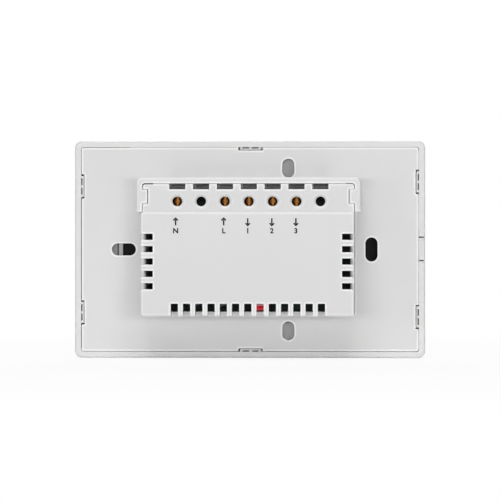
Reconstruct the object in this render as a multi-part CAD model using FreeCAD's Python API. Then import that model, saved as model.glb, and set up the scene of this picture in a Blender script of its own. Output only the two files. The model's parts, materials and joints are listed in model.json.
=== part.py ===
import FreeCAD, Part

import math
import os

# Three-way smart touch switch for a wall box, in millimetres.
# X runs along the long side of the plate, Z is up when the terminals are at the top,
# and Y points into the wall box. The wall is the plane y = 0, and the origin is the
# centre of the plate on that plane. The touch face looks along -Y.

# Front cover and touch panel
cover_width = 120.0
cover_height = 74.3
cover_depth = 10.5
cover_corner_radius = 2.4
cover_wall = 2.15
cover_front_round = 1.0
cover_rear_round = 0.6
panel_border = 1.8
panel_gap = 0.1
panel_thickness = 1.8
panel_edge_round = 0.4
web_thickness = 1.2
pry_tab_length = 8.0
pry_tab_z = 0.2
pry_slit_width = 0.4
pry_slit_depth = 7.0
pry_slit_end_wall = 0.45
board_rib_thickness = 1.4
board_rib_length = 30.0
board_rib_gap = 0.15
board_rib_height = 1.4

# Mounting base
plate_gap = 0.15
plate_thickness = 2.2
plate_corner_radius = 0.6
skirt_thickness = 1.4
skirt_end_gap = 0.1
skirt_inner_radius = 0.5
rib_thickness = 1.2
rib_height = 1.9
guard_wall = 2.05
guard_corner_radius = 1.8
guard_edge_round = 0.8
fit_gap = 0.15

# Mounting slots in the plate
slot_width = 4.15
main_slot_length = 8.25
main_slot_x_screw_side = -41.65
main_slot_x_free_side = 43.2
side_slot_length = 6.45
side_slot_x = -13.2
side_slot_spacing = 55.7
rib_from_slot = 6.0
rib_from_corner = 6.9
rib_from_box_end = 4.0
rib_from_flange = 1.0

# Snap hooks between cover and base
notch_length = 8.3
notch_depth = 0.95
hook_length = 7.2
hook_depth = 0.85
hook_bar = 0.45
hook_tooth = 0.85
hook_height = 1.2
hook_below_wall_plane = 0.25
long_side_hook_x = -0.25
free_side_hook_z = 21.6
screw_side_hook_z = 23.1

# Back cover that reaches into the wall box
box_width = 71.8
box_height = 44.7
box_depth = 25.0
box_wall = 1.45
box_corner_radius = 0.9
box_inner_radius = 0.4
box_edge_round = 0.6
step_z = 12.7
shelf_depth = 14.8
shelf_edge_round = 0.35
flange_width = 2.3
flange_thickness = 1.4
flange_corner_radius = 2.0
latch_width = 4.7
latch_reach = 1.85
latch_thickness = 1.1
latch_z = 18.0
latch_gap = 0.2
latch_pocket_wall = 1.1
latch_pocket_floor = 1.6

# Vents in the back cover
vent_depth = 6.0
bottom_vent_count = 13
bottom_vent_pitch = 4.118
bottom_vent_width = 2.45
bottom_vent_length = 4.25
bottom_vent_centre_x = -0.17
side_vent_count = 5
side_vent_pitch = 4.15
side_vent_width = 2.08
side_vent_lip_round = 1.2
side_vent_length = 4.1
side_vent_top_z = 4.37

# Terminals
terminal_count = 7
terminal_pitch = 8.08
terminal_centre_x = -0.15
terminal_z = 16.33
screw_access_radius = 1.66
countersink_radius = 2.35
countersink_depth = 0.55
wire_entry_width = 5.45
wire_entry_height = 6.0
wire_entry_floor = 1.2
wire_notch_depth = 1.9
wire_notch_floor = -0.8
block_height = 12.4
block_front_gap = 0.5
block_end_wall = 1.5
screw_bearing_wall = 0.84
clamp_width = 5.3
clamp_length = 5.2
clamp_height = 6.6
clamp_side_wall = 1.0
clamp_floor = 0.8
clamp_nut = 1.4
clamp_stroke = 2.0
clamp_gap = 0.1
contact_width = 3.0
contact_thickness = 0.8
contact_pin_length = 1.0
contact_pin_width = 1.5
contact_end_gap = 0.4
screw_radius = 1.45
screw_head_radius = 2.0
screw_head_height = 1.8
screw_dome_radius = 3.2
screw_slot_width = 0.8
screw_slot_depth = 0.8
screw_bearing_gap = 0.07

# Boards and the screws that hold them
power_board_front = 2.0
power_board_thickness = 1.6
power_board_gap = 0.3
board_corner_radius = 0.5
touch_board_side_inset = 16.2
touch_board_top_inset = 12.65
touch_board_thickness = 1.0
touch_board_standoff = 0.5
board_screw_radius = 0.8
board_screw_head_radius = 1.9
board_screw_head_height = 1.4
board_screw_spare = 0.5
board_screw_length = 7.0
board_boss_radius = 2.3
board_boss_end_inset = 2.15
board_boss_step_inset = 2.95
board_boss_low_inset = 3.4
board_hole_gap = 0.3
pan_head_round = 0.5
drive_slot_width = 0.35
thread_gap = 0.05
touch_screw_radius = 0.6
touch_screw_head_radius = 1.7
touch_screw_head_height = 1.1
touch_screw_inset = 3.5
touch_pilot_floor = 0.25

# Parts on the power board
part_gap = 0.6
lead_radius = 0.35
lead_hole_gap = 0.12
lead_reach = 1.2
lead_root = 0.3
case_round = 0.5
relay_width = 10.0
relay_length = 20.0
relay_height = 20.0
relay_pitch = 10.5
relay_count = 3
relay_z = 0.4
relay_lead_pitch_x = 7.6
relay_lead_pitch_z = 16.0
film_capacitor_width = 5.4
film_capacitor_length = 10.0
film_capacitor_height = 20.4
film_capacitor_z = -15.4
film_capacitor_lead_pitch = 7.5
transformer_z = -0.5
transformer_core_width = 17.0
transformer_core_length = 14.0
transformer_core_height = 13.6
transformer_leg = 3.4
transformer_coil_length = 17.6
transformer_foot = 1.6
transformer_lead_count = 4
transformer_lead_pitch = 4.0
transformer_lead_inset = 0.8
transformer_coil_round = 1.2
transformer_post_inset = 1.3
bulk_capacitor_radius = 4.0
bulk_capacitor_height = 16.0
bulk_capacitor_pitch = 9.0
bulk_capacitor_z = -15.6
bulk_capacitor_lead_pitch = 3.5
bulk_capacitor_groove_height = 2.0
bulk_capacitor_groove_radius = 0.6
bulk_capacitor_groove_depth = 0.35
varistor_radius = 5.0
varistor_thickness = 3.4
varistor_z = -1.0
varistor_lead_pitch = 5.0
varistor_edge_round = 0.9
varistor_foot_height = 1.5
varistor_foot_length = 5.2
fuse_width = 4.0
fuse_length = 8.4
fuse_height = 7.7
fuse_inset = 2.5
fuse_z = -10.6
fuse_lead_pitch = 5.08

# Touch side
key_count = 3
electrode_outer_radius = 5.0
electrode_inner_radius = 2.4
key_window_radius = 5.6
light_guide_radius = 1.4
light_guide_length = 0.95
light_guide_round = 0.2
led_width = 1.6
led_depth = 0.8
led_height = 0.65
status_light_inset = 19.0
status_guide_radius = 0.9
status_window_radius = 1.3
radio_width = 18.0
radio_length = 16.0
radio_board_thickness = 0.8
radio_can_height = 1.6
radio_can_border = 0.8
radio_can_corner = 0.8
radio_can_round = 0.4
radio_antenna = 4.5
radio_x = -8.0
radio_z = -2.0
link_pin_count = 8
link_pin_pitch = 2.54
link_pin_size = 0.64
link_hole_size = 0.84
link_body_width = 2.5
link_end = 0.25
link_hole_floor = 0.3
link_socket_height = 3.2
link_header_height = 0.7
link_pin_reach = 3.4
link_from_transformer = 1.5
link_z = -4.0

# Depths along Y that follow from the sizes above
touch_face_y = -cover_depth
panel_back_y = touch_face_y + panel_thickness
web_back_y = panel_back_y + web_thickness
touch_board_front_y = web_back_y + touch_board_standoff
touch_board_back_y = touch_board_front_y + touch_board_thickness
plate_front_y = -plate_thickness
flange_front_y = plate_front_y - flange_thickness
power_board_front_y = -power_board_front
power_board_back_y = power_board_front_y + power_board_thickness
shelf_inner_y = shelf_depth - box_wall
box_inner_y = box_depth - box_wall
skirt_front_y = web_back_y + skirt_end_gap

# Widths and heights that follow from the sizes above
inner_width = cover_width - 2 * cover_wall
inner_height = cover_height - 2 * cover_wall
plate_width = inner_width - 2 * plate_gap
plate_height = inner_height - 2 * plate_gap
box_half = box_width / 2
box_top_z = box_height / 2
box_bottom_z = -box_height / 2
box_inner_half = box_half - box_wall
box_inner_top_z = box_top_z - box_wall
box_inner_bottom_z = box_bottom_z + box_wall
opening_half = box_half + fit_gap
opening_top_z = box_top_z + fit_gap
opening_bottom_z = box_bottom_z - fit_gap
guard_half = opening_half + guard_wall
guard_top_z = opening_top_z + guard_wall
guard_end_z = step_z + fit_gap
block_top_z = box_inner_top_z - block_front_gap
screw_bearing_y = power_board_back_y + block_height - screw_head_height
clamp_rest_y = screw_bearing_y - screw_bearing_wall - clamp_stroke - clamp_height
contact_top_y = clamp_rest_y + clamp_height - clamp_nut - clamp_gap
touch_board_width = cover_width - 2 * touch_board_side_inset
touch_board_height = cover_height - 2 * touch_board_top_inset
key_pitch = cover_width / (key_count + 1)
status_light_x = -(cover_width / 2 - status_light_inset)
touch_screw_x = touch_board_width / 2 - touch_screw_inset
touch_screw_z = touch_board_height / 2 - touch_screw_inset

# Where the parts stand on the power board, from its two ends inwards
board_boss_x = box_inner_half - board_boss_end_inset
board_boss_high_z = step_z - box_wall - board_boss_step_inset
board_boss_low_z = box_inner_bottom_z + board_boss_low_inset
part_row_end = board_boss_x - board_boss_radius - part_gap
relay_first_x = relay_width / 2 - part_row_end
relay_row_end = relay_first_x + (relay_count - 1) * relay_pitch + relay_width / 2
film_capacitor_x = bottom_vent_centre_x - bottom_vent_pitch
varistor_x = part_row_end + part_gap / 2 - varistor_thickness / 2
fuse_x = board_boss_x - fuse_inset
transformer_x = (relay_row_end + varistor_x - varistor_thickness / 2) / 2
link_x = transformer_x + link_from_transformer

terminal_names = {0: "neutral", 2: "live", 3: "out_1", 4: "out_2", 5: "out_3"}

margin = 1.0
join = 0.1


def block(x0, x1, y0, y1, z0, z1):
    """A box between two opposite corners."""
    corner = FreeCAD.Vector(min(x0, x1), min(y0, y1), min(z0, z1))
    return Part.makeBox(abs(x1 - x0), abs(y1 - y0), abs(z1 - z0), corner)


def rod(x, z, radius, y0, y1):
    """A cylinder along Y from depth y0 to depth y1."""
    return Part.makeCylinder(radius, y1 - y0, FreeCAD.Vector(x, y0, z), FreeCAD.Vector(0, 1, 0))


def rounded_outline(x0, x1, z0, z1, radius, y):
    """A closed rectangle with round corners in the plane of depth y."""
    centres = [(x1 - radius, z1 - radius), (x0 + radius, z1 - radius),
               (x0 + radius, z0 + radius), (x1 - radius, z0 + radius)]
    edges = []
    ends = []
    for quarter, (cx, cz) in enumerate(centres):
        angles = [math.radians(90 * quarter + turn) for turn in (0, 45, 90)]
        points = [FreeCAD.Vector(cx + radius * math.cos(a), y, cz + radius * math.sin(a)) for a in angles]
        edges.append(Part.Arc(*points).toShape())
        ends.append((points[0], points[2]))
    for quarter in range(4):
        start = ends[quarter][1]
        finish = ends[(quarter + 1) % 4][0]
        if start.distanceToPoint(finish) > 0.001:
            edges.append(Part.LineSegment(start, finish).toShape())
    return Part.Wire(Part.__sortEdges__(edges))


def rounded_slab(x0, x1, z0, z1, radius, y0, y1):
    """A rectangle with round corners, carried along Y from y0 to y1."""
    face = Part.Face(rounded_outline(x0, x1, z0, z1, radius, y0))
    return face.extrude(FreeCAD.Vector(0, y1 - y0, 0))


def centred_slab(width, height, radius, y0, y1):
    """A rounded slab about the Y axis."""
    return rounded_slab(-width / 2, width / 2, -height / 2, height / 2, radius, y0, y1)


def stadium(x, z, width, length, upright, y0, y1):
    """A slot with round ends, upright along Z or lying along X."""
    half_x = width / 2 if upright else length / 2
    half_z = length / 2 if upright else width / 2
    return rounded_slab(x - half_x, x + half_x, z - half_z, z + half_z, width / 2, y0, y1)


def edges_at_depth(shape, y, keep=None):
    """The edges that lie wholly at depth y, limited to those that keep() accepts."""
    found = []
    for edge in shape.Edges:
        bounds = edge.BoundBox
        flat = abs(bounds.YMin - y) < 0.001 and abs(bounds.YMax - y) < 0.001
        if flat and (keep is None or keep(bounds)):
            found.append(edge)
    return found


def fuse(shapes):
    """One solid from several that touch or overlap."""
    whole = shapes[0]
    if len(shapes) > 1:
        whole = whole.multiFuse(shapes[1:])
    return whole.removeSplitter()


def cut(shape, tools):
    """The shape with all the tools taken away."""
    return shape.cut(tools)


def terminal_x(position):
    """X of a terminal position. Position 0 is at the +X end."""
    return terminal_centre_x + ((terminal_count - 1) / 2 - position) * terminal_pitch


def key_xs():
    """X of each touch key."""
    return [(index - (key_count - 1) / 2) * key_pitch for index in range(key_count)]


def hook_places():
    """Centre, direction and outward sign of the six snap hooks, on all four sides."""
    places = [("x", long_side_hook_x, 1), ("x", long_side_hook_x, -1)]
    for sign in (1, -1):
        places.append(("z", sign * free_side_hook_z, 1))
        places.append(("z", sign * screw_side_hook_z, -1))
    return places


def edge_bar(place, half_length, outer, inner, y0, y1, shift=0.0):
    """A bar along the plate's edge, from `outer` to `inner` measured from the cover's inner wall."""
    along, centre, sign = place
    middle = centre + shift
    if along == "x":
        wall = sign * inner_height / 2
        return block(middle - half_length, middle + half_length, y0, y1,
                     wall + sign * outer, wall - sign * inner)
    wall = sign * inner_width / 2
    return block(wall + sign * outer, wall - sign * inner, y0, y1,
                 middle - half_length, middle + half_length)


def snap_hook(place):
    """A bar held off the cover's wall by three teeth, with two pockets between them."""
    back = -hook_below_wall_plane
    front = back - hook_height
    half = hook_length / 2
    pieces = [edge_bar(place, half, -(hook_depth - hook_bar), hook_depth, front, back)]
    for step in (-1, 0, 1):
        shift = step * (half - hook_tooth / 2)
        pieces.append(edge_bar(place, hook_tooth / 2, join, hook_depth, front, back, shift))
    return fuse(pieces)


def front_cover():
    """The white frame: outer walls, the web behind the touch panel, bosses and snap hooks."""
    shell = centred_slab(cover_width, cover_height, cover_corner_radius, touch_face_y, 0)
    shell = shell.makeFillet(cover_front_round, edges_at_depth(shell, touch_face_y))
    shell = shell.makeFillet(cover_rear_round, edges_at_depth(shell, 0))
    inner_radius = plate_corner_radius + plate_gap
    hollow = centred_slab(inner_width, inner_height, inner_radius, web_back_y, margin)
    pocket = centred_slab(cover_width - 2 * panel_border + 2 * panel_gap,
                          cover_height - 2 * panel_border + 2 * panel_gap,
                          cover_corner_radius, touch_face_y - margin, panel_back_y)
    bosses = [rod(x, z, touch_screw_head_radius, web_back_y - join, touch_board_front_y)
              for x, z in touch_screw_places()]
    for side in (1, -1):
        rib_x = side * (touch_board_width / 2 + board_rib_gap)
        bosses.append(block(rib_x, rib_x + side * board_rib_thickness, web_back_y - join,
                            web_back_y + board_rib_height, -board_rib_length / 2, board_rib_length / 2))
    hooks = [snap_hook(place) for place in hook_places()]
    body = fuse([cut(shell, [hollow, pocket])] + bosses + hooks)
    window_start = panel_back_y - margin
    window_end = web_back_y + margin
    windows = [rod(x, 0, key_window_radius, window_start, window_end) for x in key_xs()]
    windows.append(rod(status_light_x, 0, status_window_radius, window_start, window_end))
    pilots = [rod(x, z, touch_screw_radius + thread_gap, panel_back_y + touch_pilot_floor,
                  touch_board_front_y + margin) for x, z in touch_screw_places()]
    return cut(body, windows + pilots + pry_slits())


def pry_slits():
    """The two slits in the wall that leave a springy tab between them, where a blade lifts the cover."""
    x0 = -cover_width / 2 + pry_slit_end_wall
    x1 = -inner_width / 2 + join
    slits = []
    for side in (1, -1):
        z = pry_tab_z + side * pry_tab_length / 2
        slits.append(block(x0, x1, -pry_slit_depth, margin,
                           z - pry_slit_width / 2, z + pry_slit_width / 2))
    return slits


def touch_panel():
    """The glass touch panel, set into the front cover and bonded to its web."""
    panel = centred_slab(cover_width - 2 * panel_border, cover_height - 2 * panel_border,
                         cover_corner_radius - panel_gap, touch_face_y, panel_back_y)
    return panel.makeFillet(panel_edge_round, edges_at_depth(panel, touch_face_y))


def touch_screw_places():
    """The four corners where the touch board is screwed to the cover."""
    return [(sx * touch_screw_x, sz * touch_screw_z) for sx in (1, -1) for sz in (1, -1)]


def touch_board():
    """The dark board behind the web that carries the touch keys and their lights."""
    board = centred_slab(touch_board_width, touch_board_height, board_corner_radius,
                         touch_board_front_y, touch_board_back_y)
    holes = [rod(x, z, touch_screw_radius + board_hole_gap, touch_board_front_y - margin,
                 touch_board_back_y + margin) for x, z in touch_screw_places()]
    return cut(board, holes)


def pan_screw(x, z, radius, head_radius, head_height, under_head_y, length):
    """A pan-head screw driven towards +Y or -Y, by the sign of its length."""
    way = 1 if length > 0 else -1
    tip_y = under_head_y + length
    shank = rod(x, z, radius, min(under_head_y, tip_y), max(under_head_y, tip_y))
    head_end = under_head_y - way * head_height
    head = rod(x, z, head_radius, min(under_head_y, head_end), max(under_head_y, head_end))
    head = head.makeFillet(pan_head_round, edges_at_depth(head, head_end))
    drive = []
    depth = head_end + way * head_height / 2
    for wide, tall in ((head_radius, drive_slot_width), (drive_slot_width, head_radius)):
        drive.append(block(x - wide / 2, x + wide / 2, head_end - way * margin, depth,
                           z - tall / 2, z + tall / 2))
    return cut(fuse([head, shank]), drive)


def touch_board_screws():
    """Four small screws that hold the touch board."""
    length = -(touch_board_thickness + touch_board_standoff + web_thickness - touch_pilot_floor - join)
    return Part.makeCompound([pan_screw(x, z, touch_screw_radius, touch_screw_head_radius,
                                        touch_screw_head_height, touch_board_back_y, length)
                              for x, z in touch_screw_places()])


def touch_electrode(x):
    """A ring of conductive foam that carries the touch from the glass to the board."""
    ring = rod(x, 0, electrode_outer_radius, panel_back_y, touch_board_front_y)
    return cut(ring, [rod(x, 0, electrode_inner_radius, panel_back_y - margin, touch_board_front_y + margin)])


def light_guide(x, radius):
    """A clear peg bonded behind the glass, in front of a light on the board."""
    peg = rod(x, 0, radius, panel_back_y, panel_back_y + light_guide_length)
    return peg.makeFillet(light_guide_round, edges_at_depth(peg, panel_back_y + light_guide_length))


def key_lights():
    """The small lights on the touch board, one behind each guide."""
    lights = []
    for x in key_xs() + [status_light_x]:
        lights.append(block(x - led_width / 2, x + led_width / 2, touch_board_front_y - led_height,
                            touch_board_front_y, -led_depth / 2, led_depth / 2))
    return Part.makeCompound(lights)


def radio_module():
    """The radio module on the back of the touch board: small board, antenna end and metal can."""
    x0 = radio_x - radio_width / 2
    x1 = radio_x + radio_width / 2
    z0 = radio_z - radio_length / 2
    z1 = radio_z + radio_length / 2
    can_front = touch_board_back_y + radio_board_thickness
    carrier = block(x0, x1, touch_board_back_y, can_front, z0, z1)
    can = rounded_slab(x0 + radio_can_border + radio_antenna, x1 - radio_can_border, z0 + radio_can_border,
                       z1 - radio_can_border, radio_can_corner, can_front, can_front + radio_can_height)
    can = can.makeFillet(radio_can_round, edges_at_depth(can, can_front + radio_can_height))
    return fuse([carrier, can])


def link_pin_xs():
    """X of each pin between the two boards."""
    return [link_x + (index - (link_pin_count - 1) / 2) * link_pin_pitch for index in range(link_pin_count)]


def link_body(y0, y1):
    """The moulded bar of a pin connector."""
    half_length = link_pin_count * link_pin_pitch / 2 + link_end
    half_width = link_body_width / 2
    return block(link_x - half_length, link_x + half_length, y0, y1, link_z - half_width, link_z + half_width)


def link_socket():
    """The socket on the front of the power board that the touch board plugs into."""
    front = power_board_front_y - link_socket_height
    floor = power_board_front_y - link_hole_floor
    half = link_hole_size / 2
    holes = [block(x - half, x + half, front - margin, floor, link_z - half, link_z + half)
             for x in link_pin_xs()]
    return cut(link_body(front, power_board_front_y), holes)


def link_header():
    """The pin header on the back of the touch board."""
    half = link_pin_size / 2
    bar = link_body(touch_board_back_y, touch_board_back_y + link_header_height)
    pins = [block(x - half, x + half, touch_board_back_y, touch_board_back_y + link_pin_reach,
                  link_z - half, link_z + half) for x in link_pin_xs()]
    return fuse([bar] + pins)


def mounting_slots():
    """The four slots for the wall screws, as tools that pass right through the plate."""
    y0 = plate_front_y - margin
    y1 = margin
    tools = [stadium(main_slot_x_free_side, 0, slot_width, main_slot_length, False, y0, y1),
             stadium(main_slot_x_screw_side, 0, slot_width, main_slot_length, True, y0, y1)]
    for sign in (1, -1):
        tools.append(stadium(side_slot_x, sign * side_slot_spacing / 2, slot_width, side_slot_length,
                             True, y0, y1))
    return tools


def plate_ribs():
    """Ribs on the front of the plate, between the box opening and the skirt."""
    front = plate_front_y - rib_height
    ribs = []
    seat = flange_width + fit_gap + rib_from_flange
    for side in (1, -1):
        outer_z = plate_height / 2 - rib_from_corner
        inner_z = main_slot_length / 2 + rib_from_slot
        for z in (-outer_z, -inner_z, inner_z, outer_z):
            ribs.append(block(side * (box_half + seat), side * (plate_width / 2 - skirt_thickness / 2), front,
                              plate_front_y + join, z - rib_thickness / 2, z + rib_thickness / 2))
        for x in (-box_half + rib_from_box_end, -side_slot_x, box_half - rib_from_box_end):
            ribs.append(block(x - rib_thickness / 2, x + rib_thickness / 2, front, plate_front_y + join,
                              side * (box_top_z + seat), side * (plate_height / 2 - skirt_thickness / 2)))
    return ribs


def terminal_guard():
    """The raised wall round three sides of the terminal shelf, with its two latches."""
    outer = rounded_slab(-guard_half, guard_half, guard_end_z - 4 * guard_corner_radius, guard_top_z,
                         guard_corner_radius, plate_front_y, shelf_depth)
    outer = outer.makeFillet(guard_edge_round, edges_at_depth(outer, shelf_depth))
    below = block(-guard_half - margin, guard_half + margin, plate_front_y - margin, shelf_depth + margin,
                  guard_end_z, guard_end_z - 5 * guard_corner_radius)
    inner = rounded_slab(-opening_half, opening_half, opening_bottom_z, opening_top_z,
                         box_corner_radius + fit_gap, plate_front_y - margin, shelf_depth + margin)
    wall = cut(outer, [below, inner])
    latches = []
    for side in (1, -1):
        latches.append(block(side * (opening_half - latch_reach), side * (opening_half + guard_wall / 2),
                             shelf_depth - latch_thickness, shelf_depth,
                             latch_z - latch_width / 2, latch_z + latch_width / 2))
    return fuse([wall] + latches)


def wire_entries(z0, z1):
    """One window for each wire in the wall above the terminals."""
    half = wire_entry_width / 2
    return [block(terminal_x(i) - half, terminal_x(i) + half, wire_entry_floor,
                  wire_entry_floor + wire_entry_height, z0, z1) for i in range(terminal_count)]


def mounting_base():
    """The plate that is screwed to the wall, with its skirt, ribs and terminal guard."""
    half_w = plate_width / 2
    half_h = plate_height / 2
    plate = centred_slab(plate_width, plate_height, plate_corner_radius, plate_front_y, 0)
    skirt = centred_slab(plate_width, plate_height, plate_corner_radius, skirt_front_y, plate_front_y + join)
    skirt_hollow = centred_slab(plate_width - 2 * skirt_thickness, plate_height - 2 * skirt_thickness,
                                skirt_inner_radius, skirt_front_y - margin, plate_front_y + margin)
    body = fuse([plate, cut(skirt, [skirt_hollow]), terminal_guard()] + plate_ribs())
    opening = rounded_slab(-opening_half, opening_half, opening_bottom_z, opening_top_z,
                           box_corner_radius + fit_gap, plate_front_y - rib_height - margin, 0)
    bottom_part = block(-opening_half, opening_half, -join, margin, opening_bottom_z, guard_end_z)
    seat_half = box_half + flange_width + fit_gap
    seat_top = box_top_z + flange_width + fit_gap
    flange_seat = block(-seat_half, seat_half, -cover_depth, plate_front_y, -seat_top, seat_top)
    tools = [opening, bottom_part, flange_seat] + mounting_slots()
    for place in hook_places():
        half = notch_length / 2
        tools.append(edge_bar(place, half, margin, plate_gap + notch_depth, -cover_depth, margin))
        tools.append(edge_bar(place, half, margin, plate_gap + skirt_thickness + join,
                              -cover_depth, plate_front_y))
    tools += wire_entries(opening_top_z - fit_gap / 2, guard_top_z + margin)
    trimmed = block(-half_w, half_w, -cover_depth, shelf_depth + margin, -half_h, half_h)
    return cut(body.common(trimmed), tools)


def box_vents():
    """The vent slots, each cut through the back face and round its edge."""
    y0 = box_depth - vent_depth
    tools = []
    for index in range(bottom_vent_count):
        x = bottom_vent_centre_x + (index - (bottom_vent_count - 1) / 2) * bottom_vent_pitch
        tools.append(block(x - bottom_vent_width / 2, x + bottom_vent_width / 2, y0, box_depth + margin,
                           box_bottom_z - margin, box_bottom_z + bottom_vent_length))
    for index in range(side_vent_count):
        z = side_vent_top_z - index * side_vent_pitch
        for side in (1, -1):
            tools.append(block(side * (box_half + margin), side * (box_half - side_vent_length), y0,
                               box_depth + margin, z - side_vent_width / 2, z + side_vent_width / 2))
            tools.append(side_vent_lip(side, z, y0))
    return tools


def side_vent_lip(side, z, y0):
    """The tool that rounds off the inner edge of one side vent's floor."""
    z0 = z - side_vent_width / 2
    round_x = side * (box_inner_half + side_vent_lip_round)
    corner = block(side * (box_inner_half - join), round_x, y0 - side_vent_lip_round, y0 + join,
                   z0, z0 + side_vent_width)
    centre = FreeCAD.Vector(round_x, y0 - side_vent_lip_round, z0 - margin)
    roller = Part.makeCylinder(side_vent_lip_round, side_vent_width + 2 * margin, centre,
                               FreeCAD.Vector(0, 0, 1))
    return cut(corner, [roller])


def screw_access(position):
    """The hole over one terminal screw, with its countersink."""
    x = terminal_x(position)
    hole = rod(x, terminal_z, screw_access_radius, shelf_inner_y - margin, shelf_depth + margin)
    start = FreeCAD.Vector(x, shelf_depth - countersink_depth, terminal_z)
    cone = Part.makeCone(screw_access_radius, countersink_radius, countersink_depth, start,
                         FreeCAD.Vector(0, 1, 0))
    return fuse([hole, cone])


def board_boss_places():
    """The four bosses that the power board is screwed to."""
    return [(side * board_boss_x, z) for side in (1, -1) for z in (board_boss_high_z, board_boss_low_z)]


def back_cover():
    """The box that reaches into the wall: deep part, terminal shelf, flange, bosses and vents."""
    deep = rounded_slab(-box_half, box_half, box_bottom_z, step_z, box_corner_radius,
                        flange_front_y, box_depth)
    deep = deep.makeFillet(box_edge_round, edges_at_depth(deep, box_depth))
    shelf = rounded_slab(-box_half, box_half, step_z - 4 * box_wall, box_top_z, box_corner_radius,
                         flange_front_y, shelf_depth)
    shelf = shelf.makeFillet(shelf_edge_round, edges_at_depth(shelf, shelf_depth))
    flange = rounded_slab(-box_half - flange_width, box_half + flange_width, box_bottom_z - flange_width,
                          box_top_z + flange_width, flange_corner_radius, flange_front_y, plate_front_y)
    hollow_deep = rounded_slab(-box_inner_half, box_inner_half, box_inner_bottom_z, step_z - box_wall,
                               box_inner_radius, flange_front_y - margin, box_inner_y)
    hollow_shelf = rounded_slab(-box_inner_half, box_inner_half, box_inner_bottom_z, box_inner_top_z,
                                box_inner_radius, flange_front_y - margin, shelf_inner_y)
    shell = cut(fuse([deep, shelf, flange]), [hollow_deep, hollow_shelf])
    bosses = []
    for x, z in board_boss_places():
        bosses.append(rod(x, z, board_boss_radius, power_board_back_y, box_inner_y + join))
    for side in (1, -1):
        pocket_x = side * (opening_half - latch_reach - latch_pocket_wall)
        bosses.append(block(pocket_x, side * (box_inner_half + join),
                            shelf_inner_y - latch_pocket_floor, shelf_inner_y + join,
                            latch_z - latch_width / 2 - latch_pocket_wall,
                            latch_z + latch_width / 2 + latch_pocket_wall))
    body = fuse([shell] + bosses)
    tools = box_vents() + [screw_access(i) for i in range(terminal_count)]
    half = wire_entry_width / 2
    for i in range(terminal_count):
        tools.append(block(terminal_x(i) - half, terminal_x(i) + half, wire_notch_floor, shelf_depth + margin,
                           box_top_z - wire_notch_depth, box_top_z + margin))
    for x, z in board_boss_places():
        tools.append(rod(x, z, board_screw_radius + thread_gap, power_board_back_y - margin,
                         power_board_back_y + board_screw_length))
    for side in (1, -1):
        tools.append(block(side * (opening_half - latch_reach - latch_gap), side * (box_half + margin),
                           shelf_depth - latch_thickness - latch_gap, shelf_depth + margin,
                           latch_z - latch_width / 2 - latch_gap, latch_z + latch_width / 2 + latch_gap))
    return cut(body, tools)


def contact_pin(position, gap, y0, y1):
    """The pin of one terminal contact, grown by a gap, between two depths."""
    x = terminal_x(position)
    z = contact_leg_z()
    half = contact_pin_width / 2 + gap
    return block(x - half, x + half, y0, y1, z - contact_thickness / 2 - gap, z + contact_thickness / 2 + gap)


def contact_leg_z():
    """Z of the leg that carries the contact bar, just behind the clamp."""
    return terminal_z - clamp_length / 2 - 2 * clamp_gap - contact_thickness / 2


def pair(x, z, pitch, along="z"):
    """Two lead places, a pitch apart along Z or X, about one point."""
    if along == "z":
        return [(x, z + pitch / 2), (x, z - pitch / 2)]
    return [(x + pitch / 2, z), (x - pitch / 2, z)]


def lead_places():
    """X and Z of every soldered lead, by the name of the part that it belongs to."""
    leads = {"film_capacitor": pair(film_capacitor_x, film_capacitor_z, film_capacitor_lead_pitch),
             "varistor": pair(varistor_x, varistor_z, varistor_lead_pitch),
             "box_fuse": pair(fuse_x, fuse_z, fuse_lead_pitch)}
    for index in range(relay_count):
        x = relay_first_x + index * relay_pitch
        rows = pair(x, relay_z, relay_lead_pitch_z)
        leads[relay_name(index)] = [place for row in rows for place in pair(*row, relay_lead_pitch_x, "x")]
    edge = transformer_coil_length / 2 - transformer_lead_inset
    steps = [index - (transformer_lead_count - 1) / 2 for index in range(transformer_lead_count)]
    leads["transformer"] = [(transformer_x + step * transformer_lead_pitch, transformer_z + side * edge)
                            for step in steps for side in (1, -1)]
    leads["bulk_capacitors"] = []
    for index in range(2):
        leads["bulk_capacitors"] += pair(bulk_capacitor_x(index), bulk_capacitor_z,
                                         bulk_capacitor_lead_pitch, "x")
    return leads


def relay_name(index):
    """The node name of one relay."""
    return "relay_%d" % (index + 1)


def bulk_capacitor_x(index):
    """X of one of the two round capacitors, side by side below the transformer."""
    return transformer_x + (index - 0.5) * bulk_capacitor_pitch


def leads_of(name):
    """The soldered leads of one part, from inside its body through the board."""
    return [rod(x, z, lead_radius, power_board_front_y - lead_reach, power_board_back_y + lead_root)
            for x, z in lead_places()[name]]


def power_board():
    """The board in the back cover, with holes for its screws and for the terminal pins."""
    half = box_inner_half - power_board_gap
    board = rounded_slab(-half, half, box_inner_bottom_z + power_board_gap, box_inner_top_z - power_board_gap,
                         board_corner_radius, power_board_front_y, power_board_back_y)
    y0 = power_board_front_y - margin
    y1 = power_board_back_y + margin
    holes = [rod(x, z, board_screw_radius + board_hole_gap, y0, y1) for x, z in board_boss_places()]
    holes += [contact_pin(position, lead_hole_gap, y0, y1) for position in terminal_names]
    for places in lead_places().values():
        holes += [rod(x, z, lead_radius + lead_hole_gap, y0, y1) for x, z in places]
    return cut(board, holes)


def power_board_screws():
    """Four screws that hold the power board to the bosses of the back cover."""
    return Part.makeCompound([pan_screw(x, z, board_screw_radius, board_screw_head_radius,
                                        board_screw_head_height, power_board_front_y,
                                        board_screw_length + power_board_thickness - board_screw_spare)
                              for x, z in board_boss_places()])


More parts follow.
